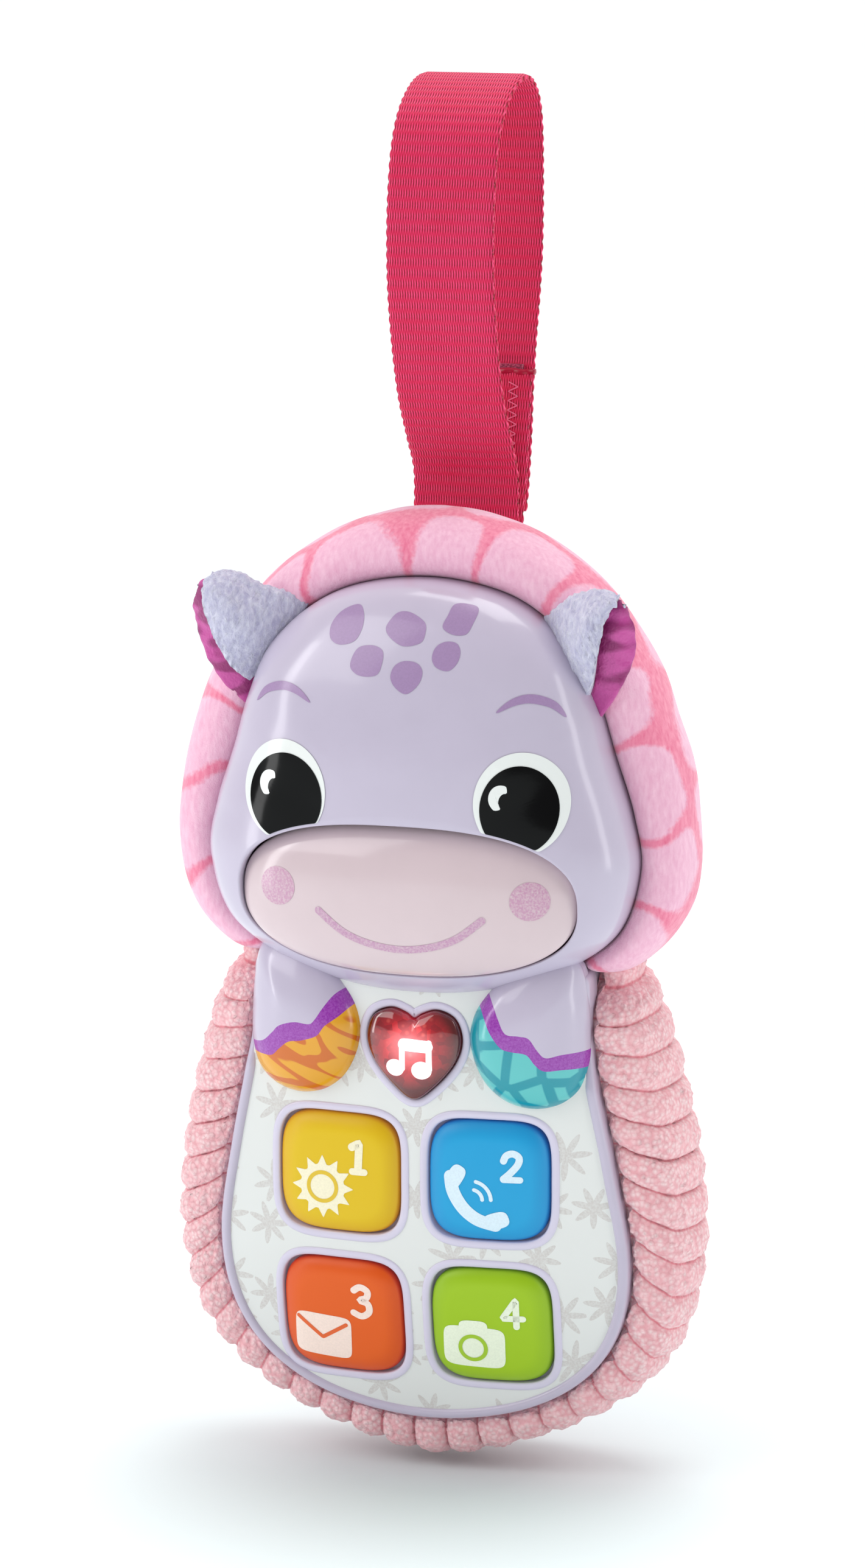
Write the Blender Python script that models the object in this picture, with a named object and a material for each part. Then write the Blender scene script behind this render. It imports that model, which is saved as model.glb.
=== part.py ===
"""Baby's toy phone: a plastic animal-faced phone in a quilted plush jacket, with a padded hood,
two soft ears and a webbing loop that it hangs from.

Lengths below are in millimetres in the toy's own frame: X runs across, Y from the face (minus) to
the back, and Z up from the lowest point of the jacket. The model itself is in metres, and its origin
is the point inside the top of the webbing loop that rests on whatever the toy hangs from.
"""

import math

import bmesh
import bpy
from mathutils import Matrix, Vector

MM = 0.001
GAP = 0.3  # clearance between touching pieces

# Hanging loop of woven webbing
WEB_WIDTH = 20.0
WEB_THICK = 1.2
TAPE_WIDTH = 16.0
TAPE_THICK = 0.6
STRAP_TAB_OFFSET = 3.4  # the short inner tab runs this far inside the rear leg
STRAP_ROOT_Z = 166.3
SEAM = (0.0, 19.2, 165.2)  # the sewn root, where the phone swings on its loop
LOOP_HINGE = (0.0, 30.6, 254.8)  # where the rear leg bends away from the crown
HANG_POINT = (0.0, 22.0, 255.0)

# Depths, along Y
PANEL_PEAK_Y = -15.5  # front of the body panel, on its centre line
PANEL_CROSS_CURVE = 0.003  # how fast the panel falls back away from the centre line, per mm
PANEL_BELLY_Z = 60.0
PANEL_BELLY_CURVE = 0.0032  # how fast it falls back below the belly line
FACE_PEAK_Y = -27.0
FACE_EDGE_Y = -9.0
PARTING_Y = -4.8  # the front shells end here
CASE_BACK_Y = 16.7
BACK_PLATE_Y = 18.4
DOOR_FACE_Y = 19.1
JACKET_BACK_Y = 18.1
WALL = 1.8
CUT_FRONT = -40.0  # cutters start here, well clear of the front
CUT_BACK = 25.0  # and end here, well clear of the back

# Face
FACE_CENTRE_Z = 122.0
MUZZLE_Z = 112.2
MUZZLE_HALF_WIDTH = 31.2
MUZZLE_HALF_HEIGHT = 13.8
MUZZLE_SQUARENESS = 2.4
MUZZLE_GAP = 0.7

# Body
ARM_CENTRE = (21.3, -13.5, 84.6)
ARM_HALF = (10.4, 6.0, 12.0)
SHOULDER_CENTRE = (27.4, 92.5)  # where the arms run up under the chin
SHOULDER_HALF = (8.5, 9.5)
PANEL_CENTRE = (0, 52)
RIM_SHARE = 0.945  # the label reaches this share of the panel's outline
LABEL_THICK = 0.35
LABEL_RIM_GAP = 2.0  # bare rim between a button's edge and the label
HOLE_GAP = 0.6  # round every button
HEART_Z = 82.6
HEART_WIDTH = 17.6
KEY_HALF = 11.4
KEY_X = 14.1
KEY_Z = (58.7, 30.6)
KEY_SQUARENESS = 3.6
KEY_PROUD = 1.5
BOARD_Y = -1.3
BOARD_THICK = 1.6
SWITCH_Z = 90.5
SLIDER_START_X = -3.0
SCREW_X = (31.3, 21.5)
SCREW_Z = (44.0, 142.0)
SCREW_BORE_RADIUS = 1.4
SPEAKER_Z = 128.0
SOUND_SLOT = (1.8, 8.0, 14.0)
SOUND_SLOT_X = (-7.5, -2.5, 2.5, 7.5)

# Back plate and jacket
PLATE_Z = 60.0
PLATE_HALF = (21.0, 38.5)
PLATE_SQUARENESS = 5
JACKET_CLEARANCE = 1.2

# Batteries, size AAA
CELL_RADIUS = 5.25
CELL_LENGTH = 43.6
CELL_Y = 10.9
CELL_Z = 49.0
CELL_X = 5.7
CELL_ROOM = 49.2
CELL_SHIFT = 0.9  # each cell sits this far towards its own flat contact
SPRING_WIRE_RADIUS = 0.35
SPRING_TURNS = 3
SPRING_HEIGHT = 1.8
LEAD_RADIUS = 0.6
CELL_CAP_RADIUS = 1.9
CELL_END_RADIUS = 4.6
DOOR_Z = 51.5
DOOR_HALF = (15.0, 29.5)
DOOR_SQUARENESS = 7
DOOR_BACK_Y = 17.0
DOOR_SCREW_Z = 78.0

# Hood and ears
HOOD_PIVOT = (0.0, 0.5, 103.0)
HOOD_DEPTH = 12.6
EAR_TOP = (28.6, -15.8, 161.0)
EAR_BOTTOM = (36.0, -15.8, 144.5)
EAR_TIP = (40.5, -17.5, 165.5)
EAR_THICK = 3.4
LINING_THICK = 0.7
LINING_SHIFT = 2.35
EAR_BELLY = 3.5  # how far an ear's lower edge bows out

# Right halves of the outlines, as (x, z) from the bottom centre to the top centre
CASE = [(0, 10.8), (17, 13.4), (29, 20.2), (36.2, 30.5), (38.4, 44), (35.7, 62), (32.5, 78),
        (31.2, 89), (31.2, 98), (33, 108), (34.2, 119), (32.3, 133), (27.5, 145.5), (18, 155.5),
        (0, 161.8)]
JACKET = [(0, 0), (20, 4.8), (37, 14), (47, 26), (51, 43), (49.8, 62), (46, 79), (42, 89.5),
          (36.6, 96), (36.4, 107), (37, 120), (34.8, 134), (30, 147), (20, 158), (0, 164.5)]
PANEL = [(0, 10.2), (17, 12.8), (29.5, 19.6), (36.8, 30), (39, 44), (36.3, 62), (33.1, 78),
         (31.8, 88), (31, 97.6), (25, 96.4), (12.5, 93), (0, 91.8)]
FACE = [(0, 92.4), (12.5, 93.5), (25, 97.4), (36, 105), (40, 117), (38.5, 127), (35.3, 137),
        (32.4, 147), (27.5, 157), (16, 165.6), (0, 168.5)]
HEART = [(0, -8.9), (3.6, -6.1), (7.3, -1.8), (8.8, 2.4), (7.6, 6.3), (4.4, 7.8), (1.6, 7.0),
         (0, 6.0)]
HOOD_INNER = [(39.6, 99.8), (41.2, 108), (41.3, 118), (40.1, 128), (37.2, 139), (32.7, 150.5),
              (25.8, 161.5), (14, 169), (0, 171.3)]
HOOD_OUTER = [(43, 98), (46.9, 106.5), (48.8, 120), (47.6, 131), (45, 141), (40, 153.5),
              (30.5, 168), (16, 177.3), (0, 180)]

# Centre lines of the webbing, as (y, z)
STRAP_FRONT = [(18.4, STRAP_ROOT_Z), (18.4, 176), (18.0, 184), (13.5, 190.5), (8, 198.5), (4, 208),
               (1.4, 218), (0.7, 227), (1.4, 236), (3.8, 244.5), (8.5, 250.5), (16, 254.4),
               (24, 255.9), (29.6, 254.6)]
STRAP_REAR = [(30.0, 254.3), (33.8, 249.5), (35.2, 241), (35.2, 226), (33.5, 216), (30.8, 207),
              (28.8, 198), (27.8, 190), (26.2, 182), (24.2, 176)]

BODIES = {  # name: (parent, pivot)
    "strap": (None, HANG_POINT),
    "strap_rear": ("strap", LOOP_HINGE),
    "phone": ("strap", SEAM),
    "hood": ("phone", HOOD_PIVOT),
    "ear_left": ("hood", (-EAR_BOTTOM[0], EAR_BOTTOM[1], EAR_BOTTOM[2])),
    "ear_right": ("hood", EAR_BOTTOM),
    "muzzle": ("phone", (0.0, FACE_PEAK_Y, MUZZLE_Z)),
    "heart": ("phone", (0.0, PANEL_PEAK_Y, HEART_Z)),
    "key_1": ("phone", (-KEY_X, PANEL_PEAK_Y, KEY_Z[0])),
    "key_2": ("phone", (KEY_X, PANEL_PEAK_Y, KEY_Z[0])),
    "key_3": ("phone", (-KEY_X, PANEL_PEAK_Y, KEY_Z[1])),
    "key_4": ("phone", (KEY_X, PANEL_PEAK_Y, KEY_Z[1])),
    "slider": ("phone", (SLIDER_START_X, BACK_PLATE_Y, SWITCH_Z)),
    "door": ("phone", (0.0, DOOR_FACE_Y, DOOR_Z)),
    "door_screw": ("door", (0.0, DOOR_FACE_Y, DOOR_SCREW_Z)),
}

COLOURS = {  # name: (red, green, blue, roughness, metallic)
    "webbing": (0.70, 0.04, 0.13, 0.8, 0.0),
    "tape": (0.45, 0.10, 0.16, 0.9, 0.0),
    "fleece": (0.89, 0.52, 0.57, 0.95, 0.0),
    "hood_cloth": (0.85, 0.45, 0.60, 0.85, 0.0),
    "ear_fur": (0.55, 0.52, 0.75, 0.95, 0.0),
    "ear_satin": (0.45, 0.04, 0.33, 0.5, 0.0),
    "lilac": (0.62, 0.55, 0.74, 0.25, 0.0),
    "label": (0.80, 0.80, 0.80, 0.3, 0.0),
    "muzzle_pink": (0.75, 0.60, 0.64, 0.25, 0.0),
    "heart_red": (0.60, 0.02, 0.03, 0.1, 0.0),
    "yellow": (0.80, 0.55, 0.03, 0.3, 0.0),
    "blue": (0.04, 0.36, 0.72, 0.3, 0.0),
    "orange": (0.80, 0.13, 0.02, 0.3, 0.0),
    "green": (0.35, 0.55, 0.05, 0.3, 0.0),
    "rubber": (0.60, 0.60, 0.58, 0.7, 0.0),
    "board": (0.02, 0.22, 0.08, 0.5, 0.0),
    "black": (0.03, 0.03, 0.03, 0.5, 0.0),
    "clear": (0.80, 0.80, 0.80, 0.05, 0.0),
    "steel": (0.60, 0.60, 0.60, 0.3, 1.0),
    "cell": (0.05, 0.10, 0.25, 0.35, 0.2),
    "red_wire": (0.70, 0.03, 0.03, 0.4, 0.0),
}


def clear_scene():
    for obj in list(bpy.data.objects):
        bpy.data.objects.remove(obj)


def smooth_curve(points, steps, closed=False):
    """Points along a Catmull-Rom curve through the given ones, with `steps` to each span."""
    count = len(points)
    spans = count if closed else count - 1

    def point(i):
        return Vector(points[i % count] if closed else points[min(max(i, 0), count - 1)])

    out = []
    for i in range(spans):
        p0, p1, p2, p3 = (point(i + k) for k in (-1, 0, 1, 2))
        for k in range(steps):
            t = k / steps
            out.append(0.5 * (2 * p1 + (p2 - p0) * t + (2 * p0 - 5 * p1 + 4 * p2 - p3) * t * t
                              + (3 * p1 - p0 - 3 * p2 + p3) * t ** 3))
    if not closed:
        out.append(point(count - 1))
    return out


def full_loop(half, steps=2):
    """The closed outline whose right half is given, counterclockwise as seen from the front."""
    left = [(-x, z) for x, z in reversed(half[1:-1])]
    return smooth_curve(list(half) + left, steps, closed=True)


def outset(loop, distance):
    """A closed outline moved outwards along its own normals."""
    count = len(loop)
    out = []
    for i, p in enumerate(loop):
        along = (loop[(i + 1) % count] - loop[i - 1]).normalized()
        out.append(p + Vector((along.y, -along.x)) * distance)
    return out


def superellipse(cx, cz, rx, rz_up, rz_down, power, count=48):
    out = []
    for k in range(count):
        a = 2 * math.pi * k / count
        c, s = math.cos(a), math.sin(a)
        rz = rz_up if s > 0 else rz_down
        out.append(Vector((cx + rx * math.copysign(abs(c) ** (2 / power), c),
                           cz + rz * math.copysign(abs(s) ** (2 / power), s))))
    return out


def heart_loop(grow=0.0):
    """A rounded heart, about `grow` wider on every side."""
    centre = (0, HEART_Z)
    loop = full_loop([(x, HEART_Z + z) for x, z in HEART])
    return shrink(loop, centre, 1 + 2 * grow / HEART_WIDTH)


def panel_y(x, z):
    """Front surface of the body panel."""
    fall = max(PANEL_BELLY_Z - z, 0.0)
    return PANEL_PEAK_Y + PANEL_CROSS_CURVE * x * x + PANEL_BELLY_CURVE * fall * fall


def shrink(loop, centre, factor):
    c = Vector(centre)
    return [c + (p - c) * factor for p in loop]


def at_depth(loop, depth):
    """An outline placed in space, at one depth or at depth(x, z)."""
    if callable(depth):
        return [Vector((p.x, depth(p.x, p.y), p.y)) for p in loop]
    return [Vector((p.x, depth, p.y)) for p in loop]


def material(name):
    found = bpy.data.materials.get(name)
    if found:
        return found
    red, green, blue, roughness, metallic = COLOURS[name]
    mat = bpy.data.materials.new(name)
    mat.use_nodes = True
    shader = mat.node_tree.nodes["Principled BSDF"]
    shader.inputs["Base Color"].default_value = (red, green, blue, 1)
    shader.inputs["Roughness"].default_value = roughness
    shader.inputs["Metallic"].default_value = metallic
    mat.diffuse_color = (red, green, blue, 1)
    return mat


def finish_object(obj, body, colour, smooth=True):
    """Gives an object its material, and hangs it on its body's empty with its origin there."""
    obj.data.materials.append(material(colour))
    if smooth and obj.type == "MESH":
        obj.data.shade_smooth()
        obj.data.set_sharp_from_angle(angle=math.radians(40))
    pivot = Vector(BODIES[body][1]) * MM
    obj.data.transform(Matrix.Translation(-pivot))
    obj.parent = bpy.data.objects[body + "_body"]
    return obj


def skin(name, rings, wrap=False):
    """A closed mesh over rings of equal length: end rings are capped, or joined when it wraps."""
    bm = bmesh.new()
    rows = [[bm.verts.new(p * MM) for p in ring] for ring in rings]
    pairs = list(zip(rows, rows[1:] + rows[:1])) if wrap else list(zip(rows, rows[1:]))
    for lower, upper in pairs:
        for i in range(len(lower)):
            j = (i + 1) % len(lower)
            bm.faces.new((lower[i], lower[j], upper[j], upper[i]))
    if not wrap:
        for row in (rows[0], rows[-1]):
            middle = sum((v.co for v in row), Vector()) / len(row)
            hub = bm.verts.new(middle)
            for i in range(len(row)):
                bm.faces.new((row[i], row[(i + 1) % len(row)], hub))
    bmesh.ops.recalc_face_normals(bm, faces=bm.faces)
    mesh = bpy.data.meshes.new(name)
    bm.to_mesh(mesh)
    bm.free()
    obj = bpy.data.objects.new(name, mesh)
    bpy.context.collection.objects.link(obj)
    return obj


def prism(name, loop, front, back):
    return skin(name, [at_depth(loop, front), at_depth(loop, back)])


def block(name, centre, size):
    x, y, z = centre
    dx, dy, dz = (s / 2 for s in size)
    corners = [Vector((x - dx, z - dz)), Vector((x + dx, z - dz)), Vector((x + dx, z + dz)),
               Vector((x - dx, z + dz))]
    return prism(name, corners, y - dy, y + dy)


def turned(name, centre, axis, profile, segments=24):
    """A solid of revolution about `axis` through centre, from (distance along, radius) pairs."""
    direction = Vector(axis).normalized()
    side = direction.orthogonal().normalized()
    other = direction.cross(side)
    rings = []
    for along, radius in profile:
        ring = []
        for k in range(segments):
            a = 2 * math.pi * k / segments
            ring.append(Vector(centre) + direction * along
                        + (side * math.cos(a) + other * math.sin(a)) * radius)
        rings.append(ring)
    return skin(name, rings)


def tube(name, points, radius):
    """A round bar along a smooth curve, with flat ends."""
    curve = bpy.data.curves.new(name, "CURVE")
    curve.dimensions = "3D"
    curve.bevel_depth = radius * MM
    curve.bevel_resolution = 0
    curve.use_fill_caps = True
    spline = curve.splines.new("POLY")
    spline.points.add(len(points) - 1)
    for target, p in zip(spline.points, points):
        target.co = (*(Vector(p) * MM), 1)
    obj = bpy.data.objects.new(name, curve)
    bpy.context.collection.objects.link(obj)
    return obj


def combine(obj, tool, operation, solver="EXACT"):
    """Cuts a tool out of a piece, or joins it on, by a Boolean."""
    tool.hide_render = True
    tool.display_type = "WIRE"
    tool.parent = obj.parent
    mod = obj.modifiers.new(tool.name, "BOOLEAN")
    mod.operation = operation
    mod.solver = solver
    mod.object = tool


def shift_tools(obj, body):
    """Moves the tools of a piece's Booleans with it when it is hung on its body."""
    pivot = Vector(BODIES[body][1]) * MM
    for mod in obj.modifiers:
        if mod.type == "BOOLEAN":
            mod.object.data.transform(Matrix.Translation(-pivot))
            mod.object.parent = bpy.data.objects[body + "_body"]


def place(obj, body, colour, smooth=True):
    finish_object(obj, body, colour, smooth)
    shift_tools(obj, body)
    return obj


def make_bodies():
    """An empty at each moving body's pivot, nested as the bodies are."""
    toy = bpy.data.objects.new("toy", None)
    bpy.context.collection.objects.link(toy)
    toy.location = -Vector(HANG_POINT) * MM
    for name, (parent, pivot) in BODIES.items():
        empty = bpy.data.objects.new(name + "_body", None)
        bpy.context.collection.objects.link(empty)
        start = Vector(BODIES[parent][1]) if parent else Vector()
        empty.location = (Vector(pivot) - start) * MM
        empty.parent = bpy.data.objects[parent + "_body"] if parent else toy


# ---------------------------------------------------------------- webbing loop

def ribbon(name, path, offset, thick, width, body, colour):
    """A flat strip on edge along X, `offset` outside a (y, z) centre line."""
    normals = []
    for i, p in enumerate(path):
        along = (path[min(i + 1, len(path) - 1)] - path[max(i - 1, 0)]).normalized()
        normals.append(Vector((-along.y, along.x)))
    near = [p + n * (offset - thick / 2) for p, n in zip(path, normals)]
    far = [p + n * (offset + thick / 2) for p, n in zip(path, normals)]
    rings = []
    for a, b in zip(near, far):
        rings.append([Vector((s * width / 2, q.x, q.y)) for s, q in ((-1, a), (1, a), (1, b), (-1, b))])
    obj = skin(name, rings)
    return place(obj, body, colour, smooth=False)


def make_strap():
    front = smooth_curve(STRAP_FRONT, 2)
    rear = smooth_curve(STRAP_REAR, 2)
    ribbon("strap_front", front, 0, WEB_THICK, WEB_WIDTH, "strap", "webbing")
    ribbon("strap_rear", rear, 0, WEB_THICK, WEB_WIDTH, "strap_rear", "webbing")
    overlap = [p for p in rear if p.y < 203.5]
    ribbon("hook_tape", overlap, -(WEB_THICK + TAPE_THICK) / 2 - GAP, TAPE_THICK, TAPE_WIDTH,
           "strap_rear", "tape")
    tab = [p for p in rear if p.y < 200]
    inner = STRAP_TAB_OFFSET
    normal_in = [p + Vector((-inner, 0)) for p in tab] + [Vector((20.1, STRAP_ROOT_Z))]
    ribbon("strap_tab", normal_in, 0, WEB_THICK, WEB_WIDTH, "strap", "webbing")
    ribbon("loop_tape", normal_in[:-1], (WEB_THICK + TAPE_THICK) / 2 + GAP - 0.05, TAPE_THICK,
           TAPE_WIDTH, "strap", "tape")
    patch = block("strap_anchor", (0, BACK_PLATE_Y + GAP + 0.5, 157.4), (24, 1.0, 13.6))
    place(patch, "phone", "webbing", smooth=False)


# ---------------------------------------------------------------- soft outside

def jacket_front_y(x, z):
    """Front edge of the jacket: it follows the panel, then meets the parting line at the head."""
    t = min(max((z - 88.0) / 9.0, 0.0), 1.0)
    t = t * t * (3 - 2 * t)
    head = PARTING_Y + GAP + 0.1
    return (panel_y(min(abs(x), 39.0), z) + 2.4) * (1 - t) + head * t


def back_opening(loop, grow):
    """The rounded opening in the jacket's back, with one point for each point of the loop."""
    rx, rz = PLATE_HALF[0] + grow, PLATE_HALF[1] + grow
    middle = Vector((0, PLATE_Z))
    out = []
    for p in loop:
        d = p - middle
        size = abs(d.x / rx) ** PLATE_SQUARENESS + abs(d.y / rz) ** PLATE_SQUARENESS
        out.append(middle + d / size ** (1 / PLATE_SQUARENESS))
    return out


def make_jacket():
    case = full_loop(CASE)
    outer = full_loop(JACKET)
    edge = outset(case, JACKET_CLEARANCE)
    opening = back_opening(edge, JACKET_CLEARANCE)

    def between(a, b, t):
        return [p.lerp(q, t) for p, q in zip(a, b)]

    def bulge(x, z):
        return jacket_front_y(x, z) * 0.75 - 1.2

    rings = [
        at_depth(edge, jacket_front_y),
        at_depth(between(edge, outer, 0.35), lambda x, z: jacket_front_y(x, z) - 0.3),
        at_depth(between(edge, outer, 0.78), bulge),
        at_depth(outer, 0.5),
        at_depth(between(edge, outer, 0.92), 8.0),
        at_depth(between(edge, outer, 0.62), 14.5),
        at_depth(between(edge, outer, 0.2), JACKET_BACK_Y),
        at_depth(opening, JACKET_BACK_Y),
        at_depth(opening, CASE_BACK_Y + GAP),
        at_depth(edge, CASE_BACK_Y + GAP),
    ]
    place(skin("plush_body", rings, wrap=True), "phone", "fleece")


def make_hood():
    """A padded roll round the head: a rounded section carried from one neck end to the other."""
    inner_half = smooth_curve(HOOD_INNER, 2)
    outer_half = smooth_curve(HOOD_OUTER, 2)
    flip = [Vector((-p.x, p.y)) for p in reversed(inner_half[:-1])]
    inner = inner_half + flip
    outer = outer_half + [Vector((-p.x, p.y)) for p in reversed(outer_half[:-1])]
    count = len(inner)
    sides = 16
    rings = []
    for i, (a, b) in enumerate(zip(inner, outer)):
        s = math.sin(math.pi * i / (count - 1))
        depth = HOOD_DEPTH * (0.42 + 0.58 * min(s * 2.2, 1.0) ** 0.6)
        middle, half = (a + b) / 2, (b - a) / 2
        ring = []
        for k in range(sides):
            angle = 2 * math.pi * k / sides
            c, d = math.cos(angle), math.sin(angle)
            across = math.copysign(abs(c) ** 0.75, c)
            deep = math.copysign(abs(d) ** 0.75, d)
            p = middle + half * across
            ring.append(Vector((p.x, HOOD_PIVOT[1] + depth * deep, p.y)))
        rings.append(ring)
    place(skin("hood", rings), "hood", "hood_cloth")


def make_ears():
    """Each ear is a leaf standing out from the root line, with a satin lining behind it."""
    for side, name in ((-1, "left"), (1, "right")):
        top, bottom, tip = (Vector((side * p[0], p[1], p[2])) for p in (EAR_TOP, EAR_BOTTOM, EAR_TIP))
        outward = (tip - (top + bottom) / 2).normalized()
        for piece, thick, shift, colour in (("ear_", EAR_THICK, 0.0, "ear_fur"),
                                            ("ear_lining_", LINING_THICK, LINING_SHIFT, "ear_satin")):
            rings = []
            for k in range(7):
                t = k / 6.4
                fall = (1 - t ** 1.6)
                a = top.lerp(tip, t)
                b = bottom.lerp(tip, t) + outward * EAR_BELLY * math.sin(math.pi * t)
                middle, half = (a + b) / 2, (a - b) / 2
                ring = []
                for m in range(12):
                    angle = 2 * math.pi * m / 12
                    p = middle + half * math.cos(angle)
                    deep = math.sin(angle) * thick / 2 * (0.35 + 0.65 * fall)
                    ring.append(p + Vector((0, deep + shift - 1.0, 0)))
                rings.append(ring)
            place(skin(piece + name, rings), "ear_" + name, colour)


# ---------------------------------------------------------------- plastic case

def muzzle_loop(grow=0.0, count=40):
    return superellipse(0, MUZZLE_Z, MUZZLE_HALF_WIDTH + grow, MUZZLE_HALF_HEIGHT + grow,
                        MUZZLE_HALF_HEIGHT + 0.6 + grow, MUZZLE_SQUARENESS, count)


def face_rings(inward):
    """Rings of the domed face from its edge to its middle, moved in from the outer surface."""
    loop = outset(full_loop(FACE), -inward)
    rings = []
    for k in range(7):
        a = 0.5 * math.pi * k / 7.4
        depth = FACE_EDGE_Y + (FACE_PEAK_Y - FACE_EDGE_Y) * math.sin(a) ** 0.8 + inward
        rings.append(at_depth(shrink(loop, (0, FACE_CENTRE_Z), math.cos(a) ** 0.9), depth))
    return rings


def post(name, x, z, front, back, radius):
    return turned(name, (x, 0, z), (0, 1, 0), [(front, radius), (back, radius)], 16)


def make_face_shell():
    outer, inner = face_rings(0.0), face_rings(WALL)
    edge_out = at_depth(full_loop(FACE), PARTING_Y)
    edge_in = at_depth(outset(full_loop(FACE), -WALL), PARTING_Y)
    shell = skin("face_shell", outer[::-1] + [edge_out, edge_in] + inner)
    for side in (-1, 1):
        x = side * SCREW_X[1]
        boss = post(f"face_boss_{side}", x, SCREW_Z[1], -22.6, 1.7, 3.2)
        combine(shell, boss, "UNION")
        bore = post(f"face_boss_bore_{side}", x, SCREW_Z[1], -9, 3, SCREW_BORE_RADIUS)
        combine(shell, bore, "DIFFERENCE")
    opening = prism("muzzle_opening", muzzle_loop(MUZZLE_GAP), CUT_FRONT, -12)
    combine(shell, opening, "DIFFERENCE")
    place(shell, "phone", "lilac")


def arm_ball(name, side, grow):
    """The moulded arm: an egg leaning in from the top corner of the panel."""
    centre = Vector((side * ARM_CENTRE[0], ARM_CENTRE[1], ARM_CENTRE[2]))
    rings = []
    across, deep, tall = (half + grow for half in ARM_HALF)
    for k in range(1, 8):
        a = math.pi * k / 8
        ring = []
        for m in range(14):
            b = 2 * math.pi * m / 14
            ring.append(centre + Vector((across * math.sin(a) * math.cos(b),
                                         deep * math.sin(a) * math.sin(b), tall * math.cos(a))))
        rings.append(ring)
    return skin(name, rings)


def key_loop(column, row, grow=0.0, count=24):
    size = KEY_HALF + grow
    return superellipse((-KEY_X, KEY_X)[column], KEY_Z[row], size, size, size, KEY_SQUARENESS, count)


def make_body_panel():
    loop = full_loop(PANEL)
    inner = shrink(loop, PANEL_CENTRE, 0.95)
    steps = (1.0, 0.85, 0.6, 0.3)
    front = [at_depth(shrink(loop, PANEL_CENTRE, s), panel_y) for s in reversed(steps)]
    back = [at_depth(shrink(inner, PANEL_CENTRE, s), lambda x, z: panel_y(x, z) + WALL) for s in steps]
    panel = skin("body_panel", front + [at_depth(loop, PARTING_Y), at_depth(inner, PARTING_Y)] + back)
    for side in (-1, 1):
        combine(panel, arm_ball(f"arm_{side}", side, 0), "UNION")
        x = side * SCREW_X[0]
        combine(panel, post(f"panel_boss_{side}", x, SCREW_Z[0], -10.2, 1.7, 3.0), "UNION")
        bore = post(f"panel_boss_bore_{side}", x, SCREW_Z[0], -6, 3, SCREW_BORE_RADIUS)
        combine(panel, bore, "DIFFERENCE")
    chin = prism("chin_clearance", outset(full_loop(FACE), GAP + 0.05), CUT_FRONT, 0)
    combine(panel, chin, "DIFFERENCE")
    combine(panel, block("heart_bay", (0, -6.3, 84), (26, 13, 24)), "DIFFERENCE")
    for column in (0, 1):
        for row in (0, 1):
            hole = prism(f"key_hole_{column}{row}", key_loop(column, row, HOLE_GAP), CUT_FRONT, 0)
            combine(panel, hole, "DIFFERENCE")
    combine(panel, prism("heart_hole", heart_loop(HOLE_GAP), CUT_FRONT, 0), "DIFFERENCE")
    place(panel, "phone", "lilac")


def make_panel_label():
    """The thin printed sheet on the panel, inside its rim and round everything that stands on it."""
    loop = shrink(full_loop(PANEL), PANEL_CENTRE, RIM_SHARE)
    rounds = [shrink(loop, PANEL_CENTRE, s) for s in (1.0, 0.8, 0.55, 0.2)]
    front = [at_depth(r, lambda x, z: panel_y(x, z) - GAP - LABEL_THICK) for r in reversed(rounds)]
    back = [at_depth(r, lambda x, z: panel_y(x, z) - GAP) for r in rounds]
    label = skin("panel_label", front + back)
    for side in (-1, 1):
        combine(label, arm_ball(f"label_arm_{side}", side, 0.5), "DIFFERENCE")
        above = superellipse(side * SHOULDER_CENTRE[0], SHOULDER_CENTRE[1], SHOULDER_HALF[0],
                             SHOULDER_HALF[1], SHOULDER_HALF[1], 2, 24)
        combine(label, prism(f"label_shoulder_{side}", above, CUT_FRONT, 0), "DIFFERENCE")
    for column in (0, 1):
        for row in (0, 1):
            hole = prism(f"label_hole_{column}{row}", key_loop(column, row, LABEL_RIM_GAP), CUT_FRONT, 0)
            combine(label, hole, "DIFFERENCE")
    combine(label, prism("label_heart_hole", heart_loop(1.8), CUT_FRONT, 0), "DIFFERENCE")
    place(label, "phone", "label")


def back_plate_loop(grow=0.0):
    half_x, half_z = PLATE_HALF[0] + grow, PLATE_HALF[1] + grow
    return superellipse(0, PLATE_Z, half_x, half_z, half_z, PLATE_SQUARENESS, 48)


def door_loop(grow=0.0):
    half_x, half_z = DOOR_HALF[0] + grow, DOOR_HALF[1] + grow
    return superellipse(0, DOOR_Z, half_x, half_z, half_z, DOOR_SQUARENESS, 40)


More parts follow.
